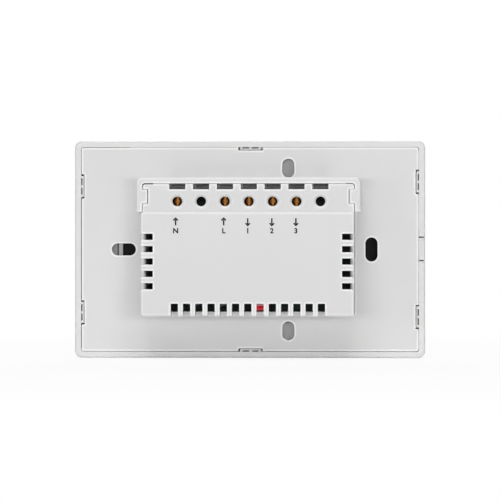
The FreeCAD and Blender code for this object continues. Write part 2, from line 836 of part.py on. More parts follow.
def terminal_block():
    """The dark moulding that holds the clamps, with a chamber for each of the seven positions."""
    y0 = power_board_back_y
    y1 = y0 + block_height
    ends = [terminal_x(terminal_count - 1) - clamp_width / 2 - block_end_wall,
            terminal_x(0) + clamp_width / 2 + block_end_wall]
    back_z = contact_leg_z() - contact_thickness / 2 - clamp_gap - block_end_wall
    body = block(ends[0], ends[1], y0, y1, back_z, block_top_z)
    tools = []
    front_z = terminal_z + clamp_length / 2 + clamp_gap
    for i in range(terminal_count):
        x = terminal_x(i)
        half = clamp_width / 2 + clamp_gap
        tools.append(block(x - half, x + half, clamp_rest_y - clamp_gap,
                           clamp_rest_y + clamp_height + clamp_stroke + clamp_gap,
                           terminal_z - clamp_length / 2 - clamp_gap, front_z))
        tools.append(block(x - wire_entry_width / 2, x + wire_entry_width / 2, wire_entry_floor,
                           wire_entry_floor + wire_entry_height, front_z - join, block_top_z + margin))
        leg = contact_width / 2 + clamp_gap
        tools.append(block(x - leg, x + leg, y0 - margin, contact_top_y + clamp_gap,
                           contact_leg_z() - contact_thickness / 2 - clamp_gap, terminal_z))
        tools.append(rod(x, terminal_z, screw_radius + screw_bearing_gap, y0 + block_height / 2, y1))
        tools.append(rod(x, terminal_z, screw_head_radius + screw_bearing_gap, screw_bearing_y, y1 + margin))
    return cut(body, tools)


def terminal_contact(position):
    """A tinned bar inside the clamp, on a leg that ends in a pin through the board."""
    x = terminal_x(position)
    half = contact_width / 2
    leg_z = contact_leg_z()
    bar = block(x - half, x + half, contact_top_y - contact_thickness, contact_top_y,
                leg_z - contact_thickness / 2, terminal_z + clamp_length / 2 - contact_end_gap)
    leg = block(x - half, x + half, power_board_back_y, contact_top_y,
                leg_z - contact_thickness / 2, leg_z + contact_thickness / 2)
    pin = contact_pin(position, 0.0, power_board_front_y - contact_pin_length, power_board_back_y + join)
    return fuse([bar, leg, pin])


def terminal_clamp(position):
    """The rising clamp: a square loop round the contact bar, with the thread in its upper wall."""
    x = terminal_x(position)
    half = clamp_width / 2
    z0 = terminal_z - clamp_length / 2
    z1 = terminal_z + clamp_length / 2
    top = clamp_rest_y + clamp_height
    loop = block(x - half, x + half, clamp_rest_y, top, z0, z1)
    inside = block(x - half + clamp_side_wall, x + half - clamp_side_wall, clamp_rest_y + clamp_floor,
                   top - clamp_nut, z0 - margin, z1 + margin)
    thread = rod(x, terminal_z, screw_radius + thread_gap, top - clamp_nut - margin, top + margin)
    return cut(loop, [inside, thread])


def terminal_screw(position):
    """The captive screw that pulls the clamp up. Its domed head stays under the shelf."""
    x = terminal_x(position)
    head_top = screw_bearing_y + screw_head_height
    head = rod(x, terminal_z, screw_head_radius, screw_bearing_y, head_top)
    dome = Part.makeSphere(screw_dome_radius, FreeCAD.Vector(x, head_top - screw_dome_radius, terminal_z))
    head = head.common(dome)
    shank = rod(x, terminal_z, screw_radius, contact_top_y + clamp_gap / 2, screw_bearing_y + join)
    reach = screw_head_radius + margin
    slot = block(x - screw_slot_width / 2, x + screw_slot_width / 2, head_top - screw_slot_depth,
                 head_top + margin, terminal_z - reach, terminal_z + reach)
    return cut(fuse([head, shank]), [slot])


def relay(index):
    """A sealed relay, one for each way."""
    x = relay_first_x + index * relay_pitch
    top = power_board_back_y + relay_height
    case = block(x - relay_width / 2, x + relay_width / 2, power_board_back_y, top,
                 relay_z - relay_length / 2, relay_z + relay_length / 2)
    case = case.makeFillet(case_round, edges_at_depth(case, top))
    return fuse([case] + leads_of(relay_name(index)))


def film_capacitor():
    """The red film capacitor that shows through one of the lower vents."""
    top = power_board_back_y + film_capacitor_height
    case = block(film_capacitor_x - film_capacitor_width / 2, film_capacitor_x + film_capacitor_width / 2,
                 power_board_back_y, top, film_capacitor_z - film_capacitor_length / 2,
                 film_capacitor_z + film_capacitor_length / 2)
    case = case.makeFillet(case_round, edges_at_depth(case, top))
    return fuse([case] + leads_of("film_capacitor"))


def transformer_core():
    """The ferrite core: an upright frame with a centre leg inside the coil."""
    y0 = power_board_back_y + transformer_foot
    y1 = y0 + transformer_core_height
    half = transformer_core_width / 2
    depth = transformer_core_length / 2
    frame = block(transformer_x - half, transformer_x + half, y0, y1,
                  transformer_z - depth / 2, transformer_z + depth / 2)
    window = block(transformer_x - half + transformer_leg, transformer_x + half - transformer_leg,
                   y0 + transformer_leg, y1 - transformer_leg, transformer_z - depth, transformer_z + depth)
    return cut(frame, [window])


def transformer_coil():
    """The taped winding through the window of the core, on a moulded foot."""
    y0 = power_board_back_y + transformer_foot + transformer_leg
    y1 = y0 + transformer_core_height - 2 * transformer_leg
    half = transformer_core_width / 2 - transformer_leg
    reach = transformer_coil_length / 2
    z0 = transformer_z - reach
    z1 = transformer_z + reach
    coil = block(transformer_x - half, transformer_x + half, y0, y1, z0, z1)
    long_edges = [edge for edge in coil.Edges if edge.BoundBox.ZLength > reach]
    coil = coil.makeFillet(transformer_coil_round, long_edges)
    foot_half = transformer_core_width / 2
    foot = block(transformer_x - foot_half, transformer_x + foot_half,
                 power_board_back_y, power_board_back_y + transformer_foot, z0, z1)
    posts = []
    post_half = half - transformer_post_inset
    for side in (1, -1):
        edge = transformer_z + side * (transformer_core_length / 4)
        posts.append(block(transformer_x - post_half, transformer_x + post_half,
                           power_board_back_y, y0 + margin, edge,
                           edge + side * (reach - transformer_core_length / 4)))
    return fuse([coil, foot] + posts + leads_of("transformer"))


def bulk_capacitors():
    """Two round electrolytic capacitors, each with a rolled groove near its board end."""
    cans = []
    leads = leads_of("bulk_capacitors")
    for index in range(2):
        x = bulk_capacitor_x(index)
        top = power_board_back_y + bulk_capacitor_height
        can = rod(x, bulk_capacitor_z, bulk_capacitor_radius, power_board_back_y, top)
        can = can.makeFillet(case_round, edges_at_depth(can, top))
        ring = bulk_capacitor_radius + bulk_capacitor_groove_radius - bulk_capacitor_groove_depth
        centre = FreeCAD.Vector(x, power_board_back_y + bulk_capacitor_groove_height, bulk_capacitor_z)
        groove = Part.makeTorus(ring, bulk_capacitor_groove_radius, centre, FreeCAD.Vector(0, 1, 0))
        cans.append(fuse([cut(can, [groove])] + leads[2 * index:2 * index + 2]))
    return Part.makeCompound(cans)


def varistor():
    """A coated disc that stands on edge, with its foot on the board."""
    centre = FreeCAD.Vector(varistor_x - varistor_thickness / 2, power_board_back_y + varistor_radius,
                            varistor_z)
    disc = Part.makeCylinder(varistor_radius, varistor_thickness, centre, FreeCAD.Vector(1, 0, 0))
    rims = [edge for edge in disc.Edges if edge.BoundBox.XLength < join]
    disc = disc.makeFillet(varistor_edge_round, rims)
    foot = block(varistor_x - varistor_thickness / 4, varistor_x + varistor_thickness / 4, power_board_back_y,
                 power_board_back_y + varistor_foot_height, varistor_z - varistor_foot_length / 2,
                 varistor_z + varistor_foot_length / 2)
    return fuse([disc, foot] + leads_of("varistor"))


def box_fuse():
    """The board fuse in its moulded case."""
    top = power_board_back_y + fuse_height
    case = block(fuse_x - fuse_width / 2, fuse_x + fuse_width / 2, power_board_back_y, top,
                 fuse_z - fuse_length / 2, fuse_z + fuse_length / 2)
    case = case.makeFillet(case_round, edges_at_depth(case, top))
    return fuse([case] + leads_of("box_fuse"))


def all_parts():
    """Every sub-part by name."""
    parts = {
        "mounting_base": mounting_base(),
        "back_cover": back_cover(),
        "power_board": power_board(),
        "power_board_screws": power_board_screws(),
        "terminal_block": terminal_block(),
        "film_capacitor": film_capacitor(),
        "transformer_core": transformer_core(),
        "transformer_coil": transformer_coil(),
        "bulk_capacitors": bulk_capacitors(),
        "varistor": varistor(),
        "box_fuse": box_fuse(),
        "link_socket": link_socket(),
        "front_cover": front_cover(),
        "touch_panel": touch_panel(),
        "touch_board": touch_board(),
        "touch_board_screws": touch_board_screws(),
        "key_lights": key_lights(),
        "status_light_guide": light_guide(status_light_x, status_guide_radius),
        "radio_module": radio_module(),
        "link_header": link_header(),
    }
    for index in range(relay_count):
        parts[relay_name(index)] = relay(index)
    for index, x in enumerate(key_xs()):
        parts["touch_electrode_%d" % (index + 1)] = touch_electrode(x)
        parts["light_guide_%d" % (index + 1)] = light_guide(x, light_guide_radius)
    for position, name in terminal_names.items():
        parts["terminal_contact_" + name] = terminal_contact(position)
        parts["terminal_clamp_" + name] = terminal_clamp(position)
        parts["terminal_screw_" + name] = terminal_screw(position)
    return parts


def main():
    os.makedirs("parts", exist_ok=True)
    for name, shape in all_parts().items():
        shape.exportStep("parts/%s.step" % name)
        print("%-26s solids %2d  volume %9.2f  valid %s" %
              (name, len(shape.Solids), shape.Volume, shape.isValid()))


main()
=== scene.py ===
# %% [markdown]
# # A smart touch switch, seen from the back
#
# This lesson dresses a finished CAD model of a touch switch for a sunk wall box.
# The switch is a white moulding seen from the side that goes into the wall. On the real
# thing nearly every visible surface is the same white plastic, so the picture depends on
# three things: soft light, a believable moulded surface, and dark openings that show real
# parts behind them.
#
# The CAD model already has every rigid piece in its place. Here we add the camera, the
# light and the finishes, and the small things that no CAD solid holds: solder, printed
# marks and the tiny parts on the boards.

# %% Load the model
import json
import math

import bpy
import numpy as np
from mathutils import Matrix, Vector


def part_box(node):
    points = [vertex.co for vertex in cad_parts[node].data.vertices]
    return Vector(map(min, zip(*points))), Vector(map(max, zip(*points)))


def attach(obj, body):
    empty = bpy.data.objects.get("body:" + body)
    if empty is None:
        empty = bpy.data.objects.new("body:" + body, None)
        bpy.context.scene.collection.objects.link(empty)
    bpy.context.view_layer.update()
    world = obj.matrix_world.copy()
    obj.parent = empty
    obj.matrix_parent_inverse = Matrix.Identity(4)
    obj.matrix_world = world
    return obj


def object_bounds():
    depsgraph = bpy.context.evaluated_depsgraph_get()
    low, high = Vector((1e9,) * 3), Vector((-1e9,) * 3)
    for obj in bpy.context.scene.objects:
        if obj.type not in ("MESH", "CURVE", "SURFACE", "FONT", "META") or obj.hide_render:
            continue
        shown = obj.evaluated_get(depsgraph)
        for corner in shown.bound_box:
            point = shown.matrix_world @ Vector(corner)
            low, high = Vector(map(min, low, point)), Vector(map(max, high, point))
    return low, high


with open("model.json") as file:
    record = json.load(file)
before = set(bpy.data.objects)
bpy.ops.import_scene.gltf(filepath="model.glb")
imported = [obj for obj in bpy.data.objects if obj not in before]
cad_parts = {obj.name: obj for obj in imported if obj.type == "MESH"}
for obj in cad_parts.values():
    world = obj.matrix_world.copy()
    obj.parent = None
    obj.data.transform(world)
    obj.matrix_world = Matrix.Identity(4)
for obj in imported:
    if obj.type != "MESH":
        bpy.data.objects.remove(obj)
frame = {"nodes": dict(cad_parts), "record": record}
cad_low, cad_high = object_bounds()
nodes = frame["nodes"]
MM = 0.001
print("nodes:", len(nodes), "box in mm:", [round(v / MM, 1) for v in cad_high - cad_low])

# %% [markdown]
# ## Camera
#
# A product photo of a flat thing is taken with a long lens, so that its sides hardly lean.
# Two clues give the place of the camera. Features that stand nearer to it look a little
# larger, which gives the distance, and they shift a little to the left, which says that the
# camera stood about two degrees to the right of straight on.

# %% Place the camera
DISTANCE = 1250 * MM
PIXELS_PER_MM = 2.920
PICTURE_SIDE = 500
TURN = math.radians(1.93)
RISE = math.radians(0.3)
AIM = (-0.07 * MM, 0, -0.19 * MM)
SENSOR = 36.0
CLIP_END = 10


def look_at(obj, place, target):
    """Stands an object at a place with its -Z axis through the target and its Y axis up."""
    obj.location = place
    obj.rotation_euler = (Vector(target) - Vector(place)).to_track_quat("-Z", "Y").to_euler()


camera = bpy.data.objects.new("camera", bpy.data.cameras.new("camera"))
bpy.context.scene.collection.objects.link(camera)
bpy.context.scene.camera = camera
camera.data.sensor_width = SENSOR
camera.data.lens = SENSOR * DISTANCE / (PICTURE_SIDE / PIXELS_PER_MM * MM)
look_at(camera, (AIM[0] - math.sin(TURN) * math.cos(RISE) * DISTANCE,
                 AIM[1] + math.cos(TURN) * math.cos(RISE) * DISTANCE,
                 AIM[2] + math.sin(RISE) * DISTANCE), AIM)
camera.data.clip_end = CLIP_END
print("lens:", round(camera.data.lens, 1), "mm")

# %% [markdown]
# ## Light
#
# The photo was lit by soft sources. Most of the light comes from a strip right behind the
# camera, wide but low. Its width fills the shade beside the box, and because it is low, the
# slots and windows stay dark. Three weaker lamps farther out at the sides even the plate
# out. One high up brightens every edge that faces upward, which is what shows that the
# switch stands upright. The last one lights the touch side, which the photo doesn't show.
#
# Each lamp is given by where it stands as seen from the switch: how far it is turned to
# the right of the camera, how high it is raised, its width and height, and its power. The powers
# were found by rendering each lamp alone and asking which mix of the pictures comes
# closest to the photo. Light simply adds up, so that mix is also the answer.
#
# The background is white for the camera only. If the world itself were made brighter, the
# plastic would wash out.

# %% Light the scene
WORLD_LEVEL = 0.08
LAMP_DISTANCE = 1.6
STUDIO_LAMPS = {
    # turn, rise, width, height, watts
    "strip_by_camera": (0, 1.5, 1.2, 0.2, 7.6),
    "lamp_near_left": (-20, 1.5, 0.4, 0.2, 0.5),
    "lamp_near_right": (20, 1.5, 0.4, 0.2, 2.5),
    "lamp_far_left": (-45, 5, 0.5, 0.4, 1.7),
    "lamp_overhead": (0, 72, 0.8, 0.8, 14.0),
    "lamp_touch_side": (180, 25, 0.9, 0.9, 16.0),
}
scene = bpy.context.scene
scene.view_settings.view_transform = "Standard"


def white_for_the_eye(tree, seen_by_camera, otherwise):
    """Mixes two shaders: one for camera, mirror and glass rays, the other for all other light."""
    path = tree.nodes.new("ShaderNodeLightPath")
    first = tree.nodes.new("ShaderNodeMath")
    first.operation = "MAXIMUM"
    second = tree.nodes.new("ShaderNodeMath")
    second.operation = "MAXIMUM"
    tree.links.new(path.outputs["Is Camera Ray"], first.inputs[0])
    tree.links.new(path.outputs["Is Glossy Ray"], first.inputs[1])
    tree.links.new(first.outputs[0], second.inputs[0])
    tree.links.new(path.outputs["Is Transmission Ray"], second.inputs[1])
    mix = tree.nodes.new("ShaderNodeMixShader")
    tree.links.new(second.outputs[0], mix.inputs[0])
    tree.links.new(otherwise.outputs[0], mix.inputs[1])
    tree.links.new(seen_by_camera.outputs[0], mix.inputs[2])
    return mix


world = bpy.data.worlds.new("studio")
scene.world = world
world.use_nodes = True
tree = world.node_tree
tree.nodes.clear()
seen = tree.nodes.new("ShaderNodeBackground")
seen.inputs["Color"].default_value = (1, 1, 1, 1)
seen.inputs["Strength"].default_value = 1.0
lit = tree.nodes.new("ShaderNodeBackground")
lit.inputs["Color"].default_value = (1, 1, 1, 1)
lit.inputs["Strength"].default_value = WORLD_LEVEL
output = tree.nodes.new("ShaderNodeOutputWorld")
tree.links.new(white_for_the_eye(tree, seen, lit).outputs[0], output.inputs[0])


def soft_lamp(name, turn, rise, width, height, watts):
    """A rectangular lamp on a sphere round the switch, facing its middle."""
    turn, rise = math.radians(turn), math.radians(rise)
    lamp = bpy.data.lights.new(name, "AREA")
    lamp.shape = "RECTANGLE"
    lamp.size = width
    lamp.size_y = height
    lamp.energy = watts
    obj = bpy.data.objects.new(name, lamp)
    scene.collection.objects.link(obj)
    look_at(obj, (-math.sin(turn) * math.cos(rise) * LAMP_DISTANCE,
                  math.cos(turn) * math.cos(rise) * LAMP_DISTANCE,
                  math.sin(rise) * LAMP_DISTANCE), (0, 0, 0))
    obj.visible_camera = False


for lamp_name, settings in STUDIO_LAMPS.items():
    soft_lamp(lamp_name, *settings)
print("lamps:", len(STUDIO_LAMPS), "world level:", WORLD_LEVEL)

# %% [markdown]
# ## Floor
#
# The switch stands on a plain pale floor. Near the switch the floor takes its shadow.
# Farther off it turns as white as the background, so no line shows where it ends. It also
# throws light back up at the switch.

# %% Lay the floor
FLOOR_CLEARANCE = 0.2
floor_height = cad_low.z - FLOOR_CLEARANCE * MM
FLOOR_WHITE = (0.90, 0.90, 0.90)
FLOOR_HALF_WIDTH = 3.0
FLOOR_BEHIND = -1.0
FLOOR_IN_FRONT = 3.0
FLOOR_SHADING = 0.10
SHADING_FULL_TO = 0.08
SHADING_GONE_AT = 0.40
floor_mesh = bpy.data.meshes.new("floor")
floor_mesh.from_pydata([(-FLOOR_HALF_WIDTH, FLOOR_BEHIND, floor_height),
                        (FLOOR_HALF_WIDTH, FLOOR_BEHIND, floor_height),
                        (FLOOR_HALF_WIDTH, FLOOR_IN_FRONT, floor_height),
                        (-FLOOR_HALF_WIDTH, FLOOR_IN_FRONT, floor_height)], [], [(0, 1, 2, 3)])
floor = bpy.data.objects.new("floor", floor_mesh)
scene.collection.objects.link(floor)
floor_paint = bpy.data.materials.new("floor_paint")
floor_paint.use_nodes = True
tree = floor_paint.node_tree
tree.nodes.clear()
diffuse = tree.nodes.new("ShaderNodeBsdfDiffuse")
diffuse.inputs["Color"].default_value = (*FLOOR_WHITE, 1)
glow = tree.nodes.new("ShaderNodeEmission")
glow.inputs["Color"].default_value = (1, 1, 1, 1)
glow.inputs["Strength"].default_value = 1.0
seen = tree.nodes.new("ShaderNodeMixShader")
place = tree.nodes.new("ShaderNodeTexCoord")
distance = tree.nodes.new("ShaderNodeVectorMath")
distance.operation = "LENGTH"
tree.links.new(place.outputs["Object"], distance.inputs[0])
fade = tree.nodes.new("ShaderNodeMapRange")
fade.interpolation_type = "SMOOTHSTEP"
fade.inputs["From Min"].default_value = SHADING_FULL_TO
fade.inputs["From Max"].default_value = SHADING_GONE_AT
fade.inputs["To Min"].default_value = FLOOR_SHADING
fade.inputs["To Max"].default_value = 0.0
tree.links.new(distance.outputs["Value"], fade.inputs["Value"])
tree.links.new(fade.outputs["Result"], seen.inputs[0])
tree.links.new(glow.outputs[0], seen.inputs[1])
tree.links.new(diffuse.outputs[0], seen.inputs[2])
output = tree.nodes.new("ShaderNodeOutputMaterial")
tree.links.new(white_for_the_eye(tree, seen, diffuse).outputs[0], output.inputs[0])
floor_mesh.materials.append(floor_paint)
print("floor at", round(floor_height / MM, 2), "mm")

# %% [markdown]
# ## Finishes
#
# A moulding never has one flat colour. The tool it came from was spark-eroded, which
# leaves a fine grain, and the plastic flowed in from one side, which leaves very faint
# clouds. Both are made from noise on the object's own coordinates, so they stay put when
# the camera or the part moves.
#
# Real edges are never knife sharp. The Bevel node bends the shading near each edge, which
# gives the thin highlight that the eye expects, and needs no change to the CAD mesh.
#
# Outer edges get a painted highlight: a paler colour is mixed in where an Ambient Occlusion
# node that looks inward finds them, as near an edge its rays soon leave the body. The same
# finish can also carry printed rings, which the touch keys need.

# %% Build a finish
EDGE_REACH = 0.8
HIGHLIGHT_START_AO = 0.97
HIGHLIGHT_FULL_AO = 0.85
EDGE_SAMPLES = 8
BEVEL_SAMPLES = 4
CLOUD_DETAIL = 3
GRAIN_DETAIL = 2
GRAIN_DEPTH = 0.02
RING_COLOUR = (0.38, 0.39, 0.40)
RING_HALF_WIDTH = 0.17


def painted_edge_highlight(tree, colour, highlight_colour):
    """Paints a highlight: mixes in a paler colour along outer edges, where rays cast inward soon leave the
    body.
    """
    inward = tree.nodes.new("ShaderNodeAmbientOcclusion")
    inward.inside = True
    inward.only_local = True
    inward.samples = EDGE_SAMPLES
    inward.inputs["Distance"].default_value = EDGE_REACH * MM
    spread = tree.nodes.new("ShaderNodeMapRange")
    spread.inputs["From Min"].default_value = HIGHLIGHT_START_AO
    spread.inputs["From Max"].default_value = HIGHLIGHT_FULL_AO
    tree.links.new(inward.outputs["AO"], spread.inputs["Value"])
    mix = tree.nodes.new("ShaderNodeMix")
    mix.data_type = "RGBA"
    mix.inputs[7].default_value = (*highlight_colour, 1)
    tree.links.new(spread.outputs[0], mix.inputs[0])
    tree.links.new(colour, mix.inputs[6])
    return mix.outputs[2]


def printed_rings(tree, place, colour, marks):
    """Mixes in thin rings: a point is inked where | distance to (x, z) - radius | < half width."""
    for x, z, radius in marks:
        flat = tree.nodes.new("ShaderNodeVectorMath")
        flat.operation = "MULTIPLY"
        flat.inputs[1].default_value = (1, 0, 1)
        tree.links.new(place, flat.inputs[0])
        away = tree.nodes.new("ShaderNodeVectorMath")
        away.operation = "DISTANCE"
        away.inputs[1].default_value = (x * MM, 0, z * MM)
        tree.links.new(flat.outputs[0], away.inputs[0])
        inked = tree.nodes.new("ShaderNodeMath")
        inked.operation = "COMPARE"
        inked.inputs[1].default_value = radius * MM
        inked.inputs[2].default_value = RING_HALF_WIDTH * MM
        tree.links.new(away.outputs["Value"], inked.inputs[0])
        mix = tree.nodes.new("ShaderNodeMix")
        mix.data_type = "RGBA"
        mix.inputs[7].default_value = (*RING_COLOUR, 1)
        tree.links.new(inked.outputs[0], mix.inputs[0])
        tree.links.new(colour, mix.inputs[6])
        colour = mix.outputs[2]
    return colour


def finish_of(name, dark, light, cloud_mm, roughness, grain_mm=0.3, grain=0.0, edge_mm=0.0,
              metallic=0.0, coat=0.0, shine=0.5, highlight_colour=None, marks=None):
    """A finish from two nearly equal colours, clouds between them, a fine grain and soft edges.

    The edge colour is a painted highlight, mixed in along outer edges, where rays cast inward soon leave the
    body.
    marks is a list of (x, z, radius) in millimetres: rings a third of a millimetre wide."""
    made = bpy.data.materials.new(name)
    made.use_nodes = True
    tree = made.node_tree
    shader = tree.nodes["Principled BSDF"]
    place = tree.nodes.new("ShaderNodeTexCoord")
    clouds = tree.nodes.new("ShaderNodeTexNoise")
    clouds.inputs["Scale"].default_value = 1 / (cloud_mm * MM)
    clouds.inputs["Detail"].default_value = CLOUD_DETAIL
    tree.links.new(place.outputs["Object"], clouds.inputs["Vector"])
    mix = tree.nodes.new("ShaderNodeMix")
    mix.data_type = "RGBA"
    mix.inputs[6].default_value = (*dark, 1)
    mix.inputs[7].default_value = (*light, 1)
    tree.links.new(clouds.outputs["Fac"], mix.inputs[0])
    colour = mix.outputs[2]
    if highlight_colour:
        colour = painted_edge_highlight(tree, colour, highlight_colour)
    if marks:
        colour = printed_rings(tree, place.outputs["Object"], colour, marks)
    tree.links.new(colour, shader.inputs["Base Color"])
    shader.inputs["Roughness"].default_value = roughness
    shader.inputs["Metallic"].default_value = metallic
    shader.inputs["Coat Weight"].default_value = coat
    shader.inputs["Specular IOR Level"].default_value = shine
    normal = None
    if edge_mm:
        soft = tree.nodes.new("ShaderNodeBevel")
        soft.samples = BEVEL_SAMPLES
        soft.inputs["Radius"].default_value = edge_mm * MM
        normal = soft.outputs["Normal"]
    if grain:
        texture = tree.nodes.new("ShaderNodeTexNoise")
        texture.inputs["Scale"].default_value = 1 / (grain_mm * MM)
        texture.inputs["Detail"].default_value = GRAIN_DETAIL
        tree.links.new(place.outputs["Object"], texture.inputs["Vector"])
        bump = tree.nodes.new("ShaderNodeBump")
        bump.inputs["Strength"].default_value = grain
        bump.inputs["Distance"].default_value = GRAIN_DEPTH * MM
        tree.links.new(texture.outputs["Fac"], bump.inputs["Height"])
        if normal:
            tree.links.new(normal, bump.inputs["Normal"])
        normal = bump.outputs["Normal"]
    if normal:
        tree.links.new(normal, shader.inputs["Normal"])
    return made


# %% Mix the finishes
# The two paler edge colours below are painted highlights along outer edges.
HIGHLIGHT_WHITE = (0.89, 0.89, 0.89)
HIGHLIGHT_RED = (1.0, 0.12, 0.16)
KEY_XS = (-30, 0, 30)
KEY_RADIUS = 7.5
STATUS_X = -41
STATUS_RADIUS = 0.9
# The white moulding gets a painted highlight along its outer edges.
moulded_white = finish_of("moulded_white", (0.70, 0.70, 0.698), (0.72, 0.72, 0.718), 30, 0.42,
                          grain=0.25, edge_mm=0.12, highlight_colour=HIGHLIGHT_WHITE)
cover_white = finish_of("cover_white", (0.70, 0.70, 0.695), (0.72, 0.72, 0.715), 40, 0.36,
                        grain=0.2, edge_mm=0.12)
key_rings = [(x, 0, KEY_RADIUS) for x in KEY_XS] + [(STATUS_X, 0, STATUS_RADIUS)]
white_glass = finish_of("white_glass", (0.78, 0.78, 0.77), (0.80, 0.80, 0.79), 60, 0.06,
                        coat=0.6, marks=key_rings)
green_board = finish_of("green_board", (0.004, 0.022, 0.010), (0.008, 0.036, 0.016), 6, 0.45,
                        grain=0.3, edge_mm=0.05, shine=0.2)
dark_board = finish_of("dark_board", (0.005, 0.006, 0.006), (0.009, 0.010, 0.010), 6, 0.6,
                       grain=0.3, edge_mm=0.05, shine=0.15)
zinc = finish_of("zinc", (0.48, 0.48, 0.50), (0.60, 0.60, 0.61), 1.5, 0.32,
                 grain=0.2, edge_mm=0.06, metallic=1.0)
brass = finish_of("brass", (0.115, 0.046, 0.011), (0.20, 0.082, 0.022), 1.2, 0.40,
                  grain=0.3, edge_mm=0.06, metallic=1.0)
tin = finish_of("tin", (0.60, 0.58, 0.54), (0.72, 0.70, 0.66), 1.5, 0.28,
                grain=0.2, edge_mm=0.05, metallic=1.0)
black_moulding = finish_of("black_moulding", (0.006, 0.006, 0.007), (0.011, 0.011, 0.012), 4, 0.6,
                           grain=0.4, edge_mm=0.1, shine=0.15)
relay_black = finish_of("relay_black", (0.006, 0.006, 0.007), (0.011, 0.011, 0.012), 8, 0.5,
                        grain=0.15, edge_mm=0.15, shine=0.2)
# The red capacitor's paler edge colour is a painted highlight along its edges.
red_dip = finish_of("red_dip", (0.85, 0.008, 0.018), (0.98, 0.020, 0.034), 2, 0.5,
                    grain=0.2, edge_mm=0.2, shine=0.06, highlight_colour=HIGHLIGHT_RED)
ferrite = finish_of("ferrite", (0.010, 0.010, 0.011), (0.022, 0.022, 0.024), 0.8, 0.7,
                    grain=0.7, edge_mm=0.1, shine=0.2)
coil_tape = finish_of("coil_tape", (0.70, 0.42, 0.03), (0.80, 0.52, 0.06), 3, 0.3,
                      grain=0.1, edge_mm=0.2)
can_sleeve = finish_of("can_sleeve", (0.012, 0.014, 0.03), (0.02, 0.024, 0.045), 4, 0.3,
                       grain=0.1, edge_mm=0.15)
blue_dip = finish_of("blue_dip", (0.01, 0.05, 0.22), (0.02, 0.08, 0.32), 2, 0.3,
                     grain=0.4, edge_mm=0.2)
led_resin = finish_of("led_resin", (0.80, 0.76, 0.55), (0.86, 0.83, 0.66), 0.5, 0.2, edge_mm=0.05)
clear_resin = finish_of("clear_resin", (0.80, 0.82, 0.83), (0.86, 0.88, 0.88), 1, 0.12, edge_mm=0.05)
foam = finish_of("foam", (0.01, 0.01, 0.01), (0.05, 0.05, 0.05), 0.3, 0.9, grain_mm=0.25, grain=1.0)
tinned_can = finish_of("tinned_can", (0.55, 0.55, 0.55), (0.66, 0.66, 0.65), 2, 0.34,
                       grain=0.2, edge_mm=0.1, metallic=1.0)

finish_by_slot = {
    "white_plastic": moulded_white, "white_glass": white_glass, "board_green": green_board,
    "board_dark": dark_board, "steel_screw": zinc, "black_plastic": black_moulding, "red_resin": red_dip,
    "ferrite": ferrite, "coil_tape": coil_tape, "capacitor_can": can_sleeve, "blue_resin": blue_dip,
    "led_resin": led_resin, "clear_plastic": clear_resin, "radio_can": tinned_can, "relay_case": relay_black,
    "conductive_foam": foam, "tinned_copper": tin, "zinc_steel": zinc, "brass_screw": brass,
}
slot_of = {part["node"]: part["material_slot"] for part in frame["record"]["subparts"]}
for name, obj in nodes.items():
    obj.data.materials.clear()
    obj.data.materials.append(finish_by_slot[slot_of[name]])
nodes["front_cover"].data.materials[0] = cover_white
print("finishes:", len(finish_by_slot))

# %% [markdown]
# ## Surfaces from numpy
#
# Every small piece below is a surface computed as a whole array: a grid of points, rows
# one way and columns the other, joined into quads. Three helpers cover them all.
#
# - `surface` turns one or many such grids into a mesh that rides on a body.
# - `band` gives a strip of constant width along a path, for printed lines and tracks.
# - `turned` gives a turned shape, a profile spun round the Y axis, for solder and rings.

# %% Helpers for surfaces
def quads(rows, columns, around):
    """Corners of the quads of one grid: (i, j), (i, j+1), (i+1, j+1), (i+1, j)."""
    steps = columns if around else columns - 1
    i, j = np.meshgrid(np.arange(rows - 1), np.arange(steps), indexing="ij")
    k = (j + 1) % columns
    corners = [i * columns + j, i * columns + k, (i + 1) * columns + k, (i + 1) * columns + j]
    return np.stack(corners, -1).reshape(-1, 4)


def surface(name, grids, body, finishes, around=False, finish_index=None, smooth=True):
    """A piece from grids[copy, row, column] of points in millimetres, on one body.

    Copy c of corner k in one grid is corner c * rows * columns + k of the whole mesh."""
    grids = np.asarray(grids, float)
    grids = grids.reshape((-1,) + grids.shape[-3:])
    copies, rows, columns, _ = grids.shape
    one = quads(rows, columns, around)
    faces = (one[None] + (np.arange(copies) * rows * columns)[:, None, None]).reshape(-1, 4)
    mesh = bpy.data.meshes.new(name)
    mesh.from_pydata((grids.reshape(-1, 3) * MM).tolist(), [], faces.tolist())
    for finish in finishes:
        mesh.materials.append(finish)
    if finish_index is not None:
        mesh.polygons.foreach_set("material_index", np.tile(finish_index, copies).astype(np.int32))
    mesh.polygons.foreach_set("use_smooth", np.full(len(faces), smooth))
    obj = bpy.data.objects.new(name, mesh)
    scene.collection.objects.link(obj)
    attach(obj, body)
    print(name, "-", copies, "copies,", len(faces), "faces")
    return obj


def band(path, width, y, facing=1):
    """A flat strip along path[n] = (x, z): rows p(n) + w/2 m(n) and p(n) - w/2 m(n), at depth y.

    m is the mitre: the mean of the two side directions, made longer by 1 / cos(half the bend)."""
    path = np.asarray(path, float)
    along = np.diff(path, axis=0)
    along /= np.linalg.norm(along, axis=1)[:, None]
    side = np.stack([-along[:, 1], along[:, 0]], 1)
    before = np.vstack([side[:1], side])
    after = np.vstack([side, side[-1:]])
    mitre = before + after
    mitre /= (1 + (before * after).sum(1))[:, None]
    edges = np.stack([path + facing * width / 2 * mitre, path - facing * width / 2 * mitre])
    depth = np.full(edges.shape[:2], y)
    return np.stack([edges[..., 0], depth, edges[..., 1]], -1)


